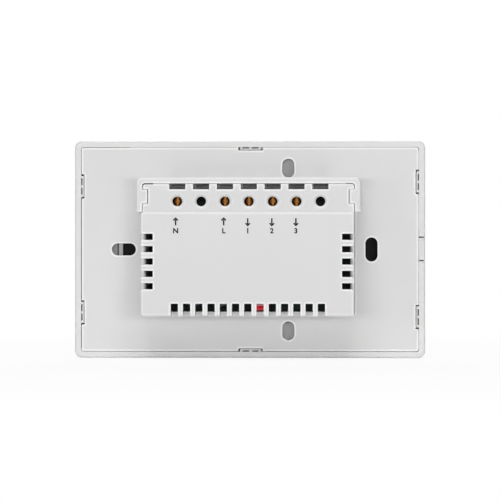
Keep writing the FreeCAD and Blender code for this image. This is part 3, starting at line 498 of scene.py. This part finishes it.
def turned(profile, places, columns=16, facing=1):
    """Turned shapes: point (r, y) of the profile goes to (x + r cos a, y, z + r sin a)."""
    profile = np.asarray(profile, float)
    angle = -facing * np.linspace(0, 2 * np.pi, columns, endpoint=False)
    ring = np.stack([np.cos(angle), np.sin(angle)], 1)
    places = np.asarray(places, float).reshape(-1, 2)
    flat = places[:, None, None] + profile[:, 0][None, :, None, None] * ring[None, None]
    y = np.broadcast_to(profile[:, 1][None, :, None], flat.shape[:3])
    return np.stack([flat[..., 0], y, flat[..., 1]], -1)


def middle(node):
    """X and Z of the middle of a node's box, in millimetres."""
    low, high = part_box(node)
    return np.array([(low.x + high.x) / 2, (low.z + high.z) / 2]) / MM


def depths(node):
    """The front and back depth of a node's box, in millimetres."""
    low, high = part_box(node)
    return low.y / MM, high.y / MM


print("helpers ready")

# %% [markdown]
# ## Terminal marks
#
# The maker pad-prints a mark beside each terminal in use: a small arrow for the way the
# current runs and a letter or number under it. Ours are plain: N and L for the mains, 1 to
# 3 for the lamps. Ink on a moulding lies almost flush, so a flat surface a hair above the
# plastic is enough, and thickness would only add faces.
#
# The letters come from a text object. It is turned into a mesh first, and only then moved
# into place, point by point, so that the object itself stays at the origin.

# %% Print the marks
INK_LIFT = 0.015
box_back = depths("back_cover")[1] + INK_LIFT
terminal_ways = {"neutral": ("N", 1), "live": ("L", 1),
                 "out_1": ("1", -1), "out_2": ("2", -1), "out_3": ("3", -1)}
LETTER_HEIGHT = 1.8
LETTER_WEIGHT = 0.035
LETTER_Z = 5.6
ARROW_Z = 9.4
ARROW_HALF = 1.2
BARB_SHARE = 0.62
STROKE = 0.48

ink = finish_of("ink", (0.004, 0.004, 0.005), (0.010, 0.010, 0.011), 0.6, 0.7, grain=0.2, shine=0.05)


def letter_mesh(text):
    """The flat faces of one letter, 1 high, with its middle at x = 0, as points and faces."""
    curve = bpy.data.curves.new("letter", "FONT")
    curve.body = text
    curve.align_x = "CENTER"
    curve.offset = LETTER_WEIGHT
    obj = bpy.data.objects.new("letter", curve)
    scene.collection.objects.link(obj)
    bpy.context.view_layer.update()
    mesh = bpy.data.meshes.new_from_object(obj.evaluated_get(bpy.context.evaluated_depsgraph_get()))
    bpy.data.objects.remove(obj)
    points = np.empty(len(mesh.vertices) * 3)
    mesh.vertices.foreach_get("co", points)
    faces = [tuple(face.vertices) for face in mesh.polygons]
    return points.reshape(-1, 3), faces


marks = bpy.data.meshes.new("terminal_letters")
all_points, all_faces = [], []
start = 0
for way, (text, _) in terminal_ways.items():
    x = middle("terminal_screw_" + way)[0]
    points, faces = letter_mesh(text)
    size = LETTER_HEIGHT / (points[:, 1].max() - points[:, 1].min())
    all_points.append(np.stack([x - points[:, 0] * size, np.full(len(points), box_back),
                                LETTER_Z + points[:, 1] * size], 1))
    all_faces += [tuple(start + v for v in face) for face in faces]
    start += len(points)
marks.from_pydata((np.vstack(all_points) * MM).tolist(), [], all_faces)
marks.materials.append(ink)
letters = bpy.data.objects.new("terminal_letters", marks)
scene.collection.objects.link(letters)
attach(letters, "base")

shaft, head = [], []
for way, (_, up) in terminal_ways.items():
    x = middle("terminal_screw_" + way)[0]
    tip = ARROW_Z + up * ARROW_HALF
    shaft.append(band([(x, ARROW_Z - up * ARROW_HALF), (x, tip - up * STROKE)], STROKE, box_back))
    barb = ARROW_HALF * BARB_SHARE
    head.append(band([(x - barb, tip - up * barb), (x, tip), (x + barb, tip - up * barb)],
                     STROKE, box_back + INK_LIFT / 3))
surface("arrow_shafts", shaft, "base", [ink], smooth=False)
surface("arrow_heads", head, "base", [ink], smooth=False)

# %% [markdown]
# ## Solder on the power board
#
# Every lead of the relays, the capacitors and the transformer comes through the board and
# ends in a small cone of solder. Molten solder climbs the lead and is pulled thin by
# surface tension, so its outline is hollow: the radius falls quickly near the board and
# slowly near the tip. The profile is r(t) = lead + (pad - lead) (1 - t)^CLIMB.
#
# One profile spun round each lead gives them all in a single mesh.

# %% Solder the leads
LEAD_RADIUS = 0.36
PAD_RADIUS = 0.95
PIN_PAD_RADIUS = 1.75
PIN_RADIUS = 0.92
CONE_HEIGHT = 0.85
CLIMB = 2.4
RIM_SHARE = 1.12
TIP_SHARE = 1.06
PIN_ROW_Z = 13.13
RELAY_STEP_X, RELAY_STEP_Z = 3.8, 8.0
FOIL = 0.02
board_front = depths("power_board")[0]


def both(step_x, step_z):
    """The four corners, or the two ends when one step is 0, of a lead pattern."""
    xs = (-step_x, step_x) if step_x else (0,)
    zs = (-step_z, step_z) if step_z else (0,)
    return np.array([(x, z) for x in xs for z in zs], float)


lead_patterns = {"relay_1": both(RELAY_STEP_X, RELAY_STEP_Z), "relay_2": both(RELAY_STEP_X, RELAY_STEP_Z),
                 "relay_3": both(RELAY_STEP_X, RELAY_STEP_Z),
                 "film_capacitor": both(0, 3.75), "varistor": both(0, 2.5), "box_fuse": both(0, 2.54),
                 "transformer_core": np.array([(x, z) for x in (-6, -2, 2, 6) for z in (-8.0, 8.0)]),
                 "bulk_capacitors": np.array([(x, 0) for x in (-6.25, -2.75, 2.75, 6.25)])}
lead_places = np.vstack([middle(node) + steps for node, steps in lead_patterns.items()])
pin_places = np.array([(middle("terminal_screw_" + way)[0], PIN_ROW_Z) for way in terminal_ways])


def solder_profile(lead, pad, height):
    """Points (r, y) of one cone, from a thin pad rim to the top of the climb."""
    t = np.linspace(0, 1, 6)
    r = lead + (pad - lead) * (1 - t) ** CLIMB
    return np.stack([np.concatenate([[pad * RIM_SHARE], r, [0.0]]),
                     board_front - FOIL - height * np.concatenate([[0], t, [TIP_SHARE]])], 1)


solder = finish_of("solder", (0.52, 0.51, 0.50), (0.70, 0.69, 0.67), 0.8, 0.22, grain=0.15, metallic=1.0)
lead_cone = solder_profile(LEAD_RADIUS, PAD_RADIUS, CONE_HEIGHT)
pin_cone = solder_profile(PIN_RADIUS, PIN_PAD_RADIUS, CONE_HEIGHT)
surface("lead_solder", turned(lead_cone, lead_places, facing=-1),
        "base", [solder], around=True)
surface("terminal_pin_solder", turned(pin_cone, pin_places, 20, facing=-1),
        "base", [solder], around=True)

# %% [markdown]
# ## Copper tracks
#
# Mains tracks are wide and left bare of lacquer, so that solder can thicken them. The
# fine tracks of the touch board run under its lacquer and show as slightly raised lines of
# nearly the same colour. Either kind turns through 45 degrees, never through a right angle.

# %% Lay the tracks
def jog(start, end):
    """A route of three straights: along z, a 45 degree slant, then along z again."""
    (x0, z0), (x1, z1) = start, end
    run = abs(x1 - x0)
    way = 1 if z1 > z0 else -1
    bend = (z0 + z1) / 2 - way * run / 2
    return [(x0, z0), (x0, bend), (x1, bend + way * run), (x1, z1)]


MAINS_WIDTH = 1.5
MAINS_LIFT = 0.04
PIN_OVERLAP = 0.4
LEAD_OVERLAP = 0.2
SIGNAL_WIDTH = 0.25
HEADER_PINS = 8
HEADER_PITCH = 2.54
relay_middles = [middle("relay_%d" % number) for number in (1, 2, 3)]
output_pins = [middle("terminal_screw_out_%d" % number)[0] for number in (3, 2, 1)]
mains = [jog((pin, PIN_ROW_Z - PIN_OVERLAP),
             (relay[0] + RELAY_STEP_X, relay[1] + RELAY_STEP_Z + LEAD_OVERLAP))
         for pin, relay in zip(output_pins, relay_middles)]
copper = finish_of("copper", (0.50, 0.45, 0.38), (0.66, 0.62, 0.55), 1.2, 0.3, grain=0.5, metallic=1.0)
surface("mains_tracks", [band(route, MAINS_WIDTH, board_front - MAINS_LIFT, facing=-1) for route in mains],
        "base", [copper], smooth=False)

touch_back = depths("touch_board")[1]
link_middle = middle("link_header")
radio_middle = middle("radio_module")
signal_routes = []
for index in range(HEADER_PINS):
    pin_x = link_middle[0] + (index - (HEADER_PINS - 1) / 2) * HEADER_PITCH
    route_end = (pin_x - 5.0 + 0.4 * index, 15.0 + 0.8 * index)
    signal_routes.append(jog((pin_x, link_middle[1] + 1.4), route_end))
for index in range(7):
    edge_z = radio_middle[1] - 5.4 + 1.8 * index
    edge_x = radio_middle[0] + 9.4
    bend_x = edge_x + 2.2
    signal_routes.append([(edge_x, edge_z), (edge_x + 1.2, edge_z),
                          (bend_x, edge_z + 1.0), (bend_x, edge_z + 1.7)])
for side in (-1, 1):
    for index in range(6):
        near_z = side * (13.0 + 1.1 * index)
        far_z = near_z - side * 3.0
        signal_routes.append([(side * 2.0, near_z), (side * 8.0 + index, near_z),
                              (side * 11.0 + index, far_z), (side * 22.0, far_z)])
track_lacquer = finish_of("track_lacquer", (0.016, 0.018, 0.017), (0.026, 0.029, 0.027), 2, 0.5,
                          grain=0.2, shine=0.25)
surface("signal_tracks", [band(route, SIGNAL_WIDTH, touch_back + FOIL) for route in signal_routes],
        "front", [track_lacquer], smooth=False)

# %% [markdown]
# ## Small parts on the touch board
#
# A touch board is crowded with tiny resistors and capacitors: a ceramic body with a
# tinned cap at each end. Their cross-section is a box with rounded corners, which the
# superellipse |y/b|^n + |z/c|^n = 1 gives in one formula. Swept along the part and closed
# at both ends it makes a whole part from 8 x 12 points, so a hundred of them cost little.

# %% Place the small parts
SECTION_POINTS = 12
SECTIONS = np.array([0.0, 0.0, 0.18, 0.22, 0.78, 0.82, 1.0, 1.0])
SWELL = np.array([0.0, 1.0, 1.0, 1.0, 1.0, 1.0, 1.0, 0.0])
BODY, CAP = 0, 1
CHIP_LIFT = 0.12
CHIP_POWER = 9


def soft_box(length, width, height, lift=0.0, power=7.0):
    """A rounded bar along x, its section |y/b|^n + |z/c|^n = 1, closed at both ends.

    Section i lies at SECTIONS[i] of the length and is SWELL[i] of its full size."""
    angle = np.linspace(0, 2 * np.pi, SECTION_POINTS, endpoint=False) + np.pi / SECTION_POINTS
    c, s = np.cos(angle), np.sin(angle)
    reach = (np.abs(c) ** power + np.abs(s) ** power) ** (-1 / power)
    y = height / 2 * (1 + SWELL[:, None] * (reach * s)[None]) + lift
    z = SWELL[:, None] * width / 2 * (reach * c)[None]
    x = np.broadcast_to((SECTIONS[:, None] - 0.5) * length, y.shape)
    return np.stack([x, y, z], -1)


def laid(shape, places, base_y):
    """Copies of a shape at (x, z, quarter turns) on a board face at depth base_y."""
    places = np.asarray(places, float)
    turn = places[:, 2] * np.pi / 2
    c, s = np.cos(turn)[:, None, None], np.sin(turn)[:, None, None]
    x = shape[None, ..., 0] * c - shape[None, ..., 2] * s + places[:, 0][:, None, None]
    z = shape[None, ..., 0] * s + shape[None, ..., 2] * c + places[:, 1][:, None, None]
    y = np.broadcast_to(shape[None, ..., 1] + base_y, x.shape)
    return np.stack([x, y, z], -1)


caps_at_ends = np.repeat([CAP, CAP, BODY, BODY, BODY, CAP, CAP], SECTION_POINTS)
ceramic = finish_of("ceramic", (0.30, 0.22, 0.13), (0.38, 0.29, 0.18), 0.5, 0.4, grain=0.3)
film_black = finish_of("film_black", (0.012, 0.012, 0.014), (0.03, 0.03, 0.032), 0.4, 0.35, grain=0.2)
chip_black = finish_of("chip_black", (0.014, 0.014, 0.015), (0.022, 0.022, 0.023), 1.5, 0.5, grain=0.6)



def row_of(count, x, z, turn, step_x=0.0, step_z=0.0):
    """Places of a straight row of parts: (x + i step_x, z + i step_z, quarter turns)."""
    return [(x + step_x * i, z + step_z * i, turn) for i in range(count)]


capacitor_rows = (row_of(4, 6, 11.5, 1, step_x=3) + row_of(5, -30, 12.0, 1, step_x=2.6)
                  + row_of(1, -33, -13.0, 0) + row_of(6, 33.0, -12, 0, step_z=2.4)
                  + row_of(5, -38.0, -12, 0, step_z=2.4) + row_of(4, 24.0, 18.0, 1, step_x=2.4))
resistor_rows = (row_of(6, 22, -12.5, 1, step_x=2.0) + row_of(5, -34, -17.5, 1, step_x=2.0)
                 + row_of(8, -23.5, -8, 0, step_z=1.9) + row_of(4, 5.0, -14, 0, step_z=-1.7)
                 + row_of(5, 37.5, 4, 0, step_z=1.9))
touch_chips = [(30.0, 4.0, 0), (-31.0, -6.0, 0)]
supply_chip = [(10.0, -17.5, 0)]
capacitor_shape = soft_box(2.0, 1.25, 0.95)
resistor_shape = soft_box(1.6, 0.8, 0.45)
touch_chip_shape = soft_box(6.9, 6.9, 1.1, lift=CHIP_LIFT, power=CHIP_POWER)
supply_chip_shape = soft_box(4.9, 3.9, 1.4, lift=CHIP_LIFT, power=CHIP_POWER)
surface("chip_capacitors", laid(capacitor_shape, capacitor_rows, touch_back), "front",
        [ceramic, solder], around=True, finish_index=caps_at_ends)
surface("chip_resistors", laid(resistor_shape, resistor_rows, touch_back), "front",
        [film_black, solder], around=True, finish_index=caps_at_ends)
surface("touch_chips", laid(touch_chip_shape, touch_chips, touch_back), "front",
        [chip_black], around=True)
surface("supply_chip", laid(supply_chip_shape, supply_chip, touch_back), "front",
        [chip_black], around=True)

# %% [markdown]
# ## Chip legs
#
# A leg leaves the moulding at half height, bends down to the board and runs out flat, the
# shape that makers call a gull's wing. It is a profile carried sideways by its width.

# %% Bend the legs
LEG_WIDTH = 0.3
LEG_FOOT_HEIGHT = 0.08


def gull_leg(reach, rise):
    """A leg along +x: its centre line, given as (x, y) points, carried over the leg's width."""
    line = np.array([(-0.2, rise), (0.25 * reach, rise),
                     (0.45 * reach, LEG_FOOT_HEIGHT), (reach, LEG_FOOT_HEIGHT)])
    z = np.array([-LEG_WIDTH / 2, LEG_WIDTH / 2])
    x, across = np.meshgrid(line[:, 0], z, indexing="ij")
    y = np.broadcast_to(line[:, 1][:, None], x.shape)
    return np.stack([x, y, across], -1)


def legs_round(places, half, count, pitch, sides):
    """Places of legs on the given sides of chips: (x, z, quarter turns)."""
    steps = (np.arange(count) - (count - 1) / 2) * pitch
    out = []
    for x, z, _ in places:
        for turn in sides:
            c, s = math.cos(turn * math.pi / 2), math.sin(turn * math.pi / 2)
            out += [(x + half * c - step * s, z + half * s + step * c, turn) for step in steps]
    return out


touch_leg_places = legs_round(touch_chips, 3.45, 8, 0.8, (0, 1, 2, 3))
supply_leg_places = legs_round(supply_chip, 1.95, 4, 1.27, (1, 3))
surface("touch_chip_legs", laid(gull_leg(0.9, 0.6), touch_leg_places, touch_back),
        "front", [solder], smooth=False)
surface("supply_chip_legs", laid(gull_leg(1.0, 0.75), supply_leg_places, touch_back),
        "front", [solder], smooth=False)

# %% [markdown]
# ## The radio's aerial and edge pads
#
# The free end of the radio module carries its aerial, a copper line folded to and fro. Its
# other edges have half-round plated pads where it is soldered to the board below.

# %% Fold the aerial
RADIO_BOARD = 0.8
AERIAL_MARGIN_X = 0.7
AERIAL_MARGIN_Z = 1.2
AERIAL_REACH = 3.2
AERIAL_LENGTH = 13.4
AERIAL_WIDTH = 0.7
AERIAL_TURNS = 7
PAD_COUNT = 8
PAD_PITCH = 1.9
PAD_OUTSIDE = 0.1
FIRST_PAD = 1.0
PAD_DOME = [(0.5, 0.0), (0.36, 0.48), (0.0, 0.6)]
aerial_y = depths("radio_module")[0] + RADIO_BOARD + FOIL
radio_low, radio_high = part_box("radio_module")
aerial_x0 = radio_low.x / MM + AERIAL_MARGIN_X
aerial_x1 = aerial_x0 + AERIAL_REACH
steps = np.arange(2 * AERIAL_TURNS)
fold_x = np.where((steps + 1) // 2 % 2 == 0, aerial_x0, aerial_x1)
fold_z = radio_low.z / MM + AERIAL_MARGIN_Z + (steps // 2) * (AERIAL_LENGTH / (AERIAL_TURNS - 1))
surface("aerial", [band(np.stack([fold_x, fold_z], 1), AERIAL_WIDTH, aerial_y)],
        "front", [copper], smooth=False)

pad_places = [(radio_high.x / MM + PAD_OUTSIDE, radio_low.z / MM + FIRST_PAD + PAD_PITCH * index)
              for index in range(PAD_COUNT)]
pad_profile = [(radius, touch_back + FOIL + height) for radius, height in PAD_DOME]
surface("radio_pads", turned(pad_profile, pad_places, 10), "front", [solder], around=True)

# %% [markdown]
# ## Sleeves of the round capacitors
#
# A round capacitor wears a dark plastic sleeve with a pale stripe down its minus side.
# The stripe is part of a cylinder: angle one way, height the other.

# %% Stripe the capacitors
SLEEVE_LIFT = 0.03
CAN_SPACING = 9.0
STRIPE_FROM, STRIPE_TO = math.radians(-115), math.radians(-65)
STRIPE_HEIGHTS = (2.2, 6.6, 11.0)
can_low, can_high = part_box("bulk_capacitors")
stripe_radius = (can_high.z - can_low.z) / MM / 2 + SLEEVE_LIFT
can_centres = middle("bulk_capacitors") + np.array([(-CAN_SPACING / 2, 0), (CAN_SPACING / 2, 0)])
angle, height = np.meshgrid(np.linspace(STRIPE_FROM, STRIPE_TO, 9), STRIPE_HEIGHTS)
across, upward = stripe_radius * np.cos(angle), stripe_radius * np.sin(angle)
stripes = np.stack([np.stack([x + across, height, z + upward], -1) for x, z in can_centres])
stripe_grey = finish_of("stripe_grey", (0.50, 0.52, 0.56), (0.58, 0.60, 0.64), 3, 0.35, grain=0.1)
surface("sleeve_stripes", stripes, "base", [stripe_grey])

# %% [markdown]
# ## Print on the film capacitor
#
# The red capacitor shows in one of the lower vents. Its end carries pale lines of print,
# too small to read here, so each line is a plain bar. The first one crosses the vent.

# %% Print the film capacitor
PRINT_FIRST_Z = -18.6
PRINT_PITCH = 2.6
PRINT_HEIGHT = 0.42
PRINT_HALVES = (2.2, 1.7, 1.9)
capacitor_x = middle("film_capacitor")[0]
capacitor_back = depths("film_capacitor")[1] + INK_LIFT
lines = []
for row, half in enumerate(PRINT_HALVES):
    line_z = PRINT_FIRST_Z + row * PRINT_PITCH
    lines.append(band([(capacitor_x - half, line_z), (capacitor_x + half, line_z)],
                      PRINT_HEIGHT, capacitor_back))
# The first bar, the one that crosses the vent, is both print and a painted highlight.
pale_print_and_highlight = finish_of("pale_print_and_highlight", (0.72, 0.50, 0.58), (0.82, 0.60, 0.68), 0.5, 0.5, grain=0.2)
surface("capacitor_print_and_highlight", lines, "base", [pale_print_and_highlight], smooth=False)

# %% [markdown]
# ## Ejector rings
#
# Steel pins push the warm cover out of its mould and leave faint rings on its inside. They
# show when the front is off. Each is a low turned ridge.

# %% Press the ejector rings
WEB_BACK = -7.5
RIDGE_RISE = 0.06
RING_PLACES = ((50, 12), (28, 29), (52, 29))
pin_ridge = [(1.9, WEB_BACK), (1.95, WEB_BACK + RIDGE_RISE), (2.1, WEB_BACK + RIDGE_RISE), (2.15, WEB_BACK)]
pin_marks = [(side_x * x, side_z * z) for x, z in RING_PLACES for side_x in (-1, 1) for side_z in (-1, 1)]
surface("ejector_rings", turned(pin_ridge, pin_marks, 24), "front",
        [cover_white], around=True)

# %% [markdown]
# ## Grooves beside the board ribs
#
# A tall rib leaves a sink mark, so the mould cuts a narrow groove along its foot. The photo
# shows one as a dark line in the left slot. A flat dark strip on the web stands for it,
# because at this size only the shade of a groove is seen.

# %% Draw the rib grooves
GROOVE_X = 45.65
GROOVE_WIDTH = 0.5
GROOVE_HALF_LENGTH = 15.0
groove_shade = finish_of("groove_shade", (0.10, 0.10, 0.10), (0.16, 0.16, 0.16), 2, 0.6,
                         grain=0.2, shine=0.1)
# Each dark strip is the groove's shade, painted flat on the web.
groove_shade_strips = [band([(side * GROOVE_X, -GROOVE_HALF_LENGTH), (side * GROOVE_X, GROOVE_HALF_LENGTH)],
                GROOVE_WIDTH, WEB_BACK + INK_LIFT) for side in (-1, 1)]
surface("rib_groove_shade", groove_shade_strips, "front", [groove_shade], smooth=False)

# %% [markdown]
# ## Pockets of the snap hooks
#
# Three teeth hold each hook off the wall, and the two pockets between them go deep, so
# they look dark. Each pocket gets painted shade: a dark rectangle between the wall and the hook.

# %% Darken the hook pockets
GAP = 0.15
POCKET_WIDTH = 0.4
POCKET_FROM_CENTRE = 1.5875
POCKET_HALF_LENGTH = 1.1625
POCKET_SHADE_DEPTH = -0.6
LONG_SIDE_HOOK_X = -0.25
FREE_SIDE_HOOK_Z = 21.6
SCREW_SIDE_HOOK_Z = 23.1
plate_low, plate_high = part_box("mounting_base")
wall_left, wall_right = plate_low.x / MM - GAP, plate_high.x / MM + GAP
wall_bottom, wall_top = plate_low.z / MM - GAP, plate_high.z / MM + GAP


def pocket_shade_rectangle(wall, inward, centre, upright):
    """A rectangle of painted shade beside the wall: `centre` runs along it, `inward` is +1 or -1 across it.
    """
    across = wall + inward * POCKET_WIDTH / 2
    ends = [(across, centre - POCKET_HALF_LENGTH), (across, centre + POCKET_HALF_LENGTH)]
    if not upright:
        ends = [(along, place) for place, along in ends]
    return band(ends, POCKET_WIDTH, POCKET_SHADE_DEPTH)


hooks = [(wall_top, -1, LONG_SIDE_HOOK_X, False), (wall_bottom, 1, LONG_SIDE_HOOK_X, False)]
for sign in (-1, 1):
    hooks.append((wall_right, -1, sign * FREE_SIDE_HOOK_Z, True))
    hooks.append((wall_left, 1, sign * SCREW_SIDE_HOOK_Z, True))
pocket_shade_rectangles = [pocket_shade_rectangle(wall, inward, centre + step * POCKET_FROM_CENTRE, upright)
          for wall, inward, centre, upright in hooks for step in (-1, 1)]
deep_shade = finish_of("deep_shade", (0.03, 0.03, 0.03), (0.05, 0.05, 0.05), 2, 0.7,
                       grain=0.2, shine=0.05)
surface("hook_pocket_shade", pocket_shade_rectangles, "front", [deep_shade], smooth=False)

# %% [markdown]
# ## How the base lies in the frame
#
# The base has a little play. In the photo it lies against the frame at the top and on the
# screw side, so the gap nearly closes there and is wider and darker at the free end. Thin
# strips show this: pale ones in the gap where it closes, dark ones over it where it opens.

# %% Paint light into the gap on two sides and shade on the third
NOTCH_HALF_LENGTH = 4.15
CORNER_MARGIN = 1.0
PALE_DEPTH = -0.08
OPEN_WIDTH = 0.25
PALE_END_X = 41.0


def gap_strip(across, start, end, upright, width, depth):
    """A strip of the given width, `across` in the gap's middle, from start to end along it."""
    ends = [(across, start), (across, end)] if upright else [(start, across), (end, across)]
    return band(ends, width, depth)


def side_runs(hook_z):
    """The three stretches of an upright gap that two hooks leave free."""
    near, far = hook_z - NOTCH_HALF_LENGTH, hook_z + NOTCH_HALF_LENGTH
    end = wall_top - CORNER_MARGIN
    return [(-end, -far), (-near, near), (far, end)]


screw_side = wall_left + GAP / 2
free_side = wall_right - GAP / 2
top_side = wall_top - GAP / 2
top_runs = [(wall_left + CORNER_MARGIN, LONG_SIDE_HOOK_X - NOTCH_HALF_LENGTH),
            (LONG_SIDE_HOOK_X + NOTCH_HALF_LENGTH, PALE_END_X)]
# The pale strips are painted light that hides the gap's shade where it nearly closes.
pale_gap_light_strips = [gap_strip(screw_side, start, end, True, GAP, PALE_DEPTH)
               for start, end in side_runs(SCREW_SIDE_HOOK_Z)]
pale_gap_light_strips += [gap_strip(top_side, start, end, False, GAP, PALE_DEPTH) for start, end in top_runs]
# The dark strips are painted shade over the gap where it opens.
dark_gap_shade_strips = [gap_strip(free_side, start, end, True, OPEN_WIDTH, INK_LIFT)
               for start, end in side_runs(FREE_SIDE_HOOK_Z)[:2]]
painted_gap_light = finish_of("painted_gap_light", (0.42, 0.42, 0.42), (0.48, 0.48, 0.48), 2, 0.5,
                      grain=0.1, shine=0.1)
surface("closed_gap_painted_light", pale_gap_light_strips, "front", [painted_gap_light], smooth=False)
surface("open_gap_painted_shade", dark_gap_shade_strips, "front", [deep_shade], smooth=False)

# %% [markdown]
# ## Shade round the terminal shelf
#
# The shelf fits loosely in the raised wall too. In the photo the gap is dark at its two
# upper corners and along the tips of the latches, and nearly closed between the corners. A
# narrow dark line of four points lies over each dark stretch, and a pale strip in the rest.

# %% Darken the shelf's corners and latches
SHELF_DEPTH = 14.8
FREE_CORNER = [(35.92, 21.3), (35.75, 22.0), (35.3, 22.28), (32.3, 22.30)]
SCREW_CORNER = [(-32.9, 22.40), (-35.3, 22.38), (-35.8, 22.05), (-35.96, 21.1)]
LATCH_TIP_X = 34.1
LATCH_LOW_Z = 15.7
LATCH_HIGH_Z = 20.3
SHELF_GAP_Z = 22.425
CORNER_LINES = ((FREE_CORNER, 0.36), (SCREW_CORNER, 0.22))
LATCH_LINE = 0.28
latch_z = np.linspace(LATCH_LOW_Z, LATCH_HIGH_Z, len(FREE_CORNER))
latch_lines = [([(side * LATCH_TIP_X, z) for z in latch_z], LATCH_LINE) for side in (-1, 1)]
shade_lines = [band(path, width, SHELF_DEPTH + INK_LIFT) for path, width in (*CORNER_LINES, *latch_lines)]
surface("shelf_shade", shade_lines, "base", [deep_shade], smooth=False)
# The pale strip is painted light that hides the gap's shade between the corners.
shelf_gap_light_strip = gap_strip(SHELF_GAP_Z, SCREW_CORNER[0][0], FREE_CORNER[-1][0], False,
                        GAP, SHELF_DEPTH + PALE_DEPTH)
surface("closed_shelf_gap_painted_light", [shelf_gap_light_strip], "base", [painted_gap_light], smooth=False)

# %% [markdown]
# ## Wire rests
#
# Each wire enters through a window and lies on a floor with a low ridge across it, which
# keeps a thin wire from sliding sideways. In the photo these floors are the grey bars with
# a paler line above the screws. The floor is one profile, the height over z, drawn out in x.

# %% Lay the wire rests
REST_HALF_WIDTH = 2.6
REST_LOW_Z = 20.55
REST_HIGH_Z = 22.25
REST_FLOOR = -0.74
RIDGE_HEIGHT = 0.35
RIDGE_HALF_WIDTH = 0.28
rest_z = np.linspace(REST_LOW_Z, REST_HIGH_Z, 18)
ridge = np.clip(1 - np.abs(rest_z - (REST_LOW_Z + REST_HIGH_Z) / 2) / RIDGE_HALF_WIDTH, 0, 1)
rest_y = REST_FLOOR + RIDGE_HEIGHT * ridge ** 2 * (3 - 2 * ridge)
first_x, sixth_x = middle("terminal_screw_neutral")[0], middle("terminal_screw_out_3")[0]
terminal_xs = first_x + (sixth_x - first_x) / 5 * np.arange(7)
rest_x = terminal_xs[:, None] + np.array([-REST_HALF_WIDTH, REST_HALF_WIDTH])
rests = np.stack(np.broadcast_arrays(rest_x[:, :, None], rest_y[None, None, :], rest_z[None, None, :]), -1)
# The rests' grey is painted shade, and their paler edge colour is a painted highlight.
rest_painted_shade = finish_of("rest_painted_shade", (0.30, 0.30, 0.30), (0.36, 0.36, 0.36), 1, 0.6,
                      grain=0.3, highlight_colour=(0.6, 0.6, 0.6))
surface("wire_rests", rests, "base", [rest_painted_shade])
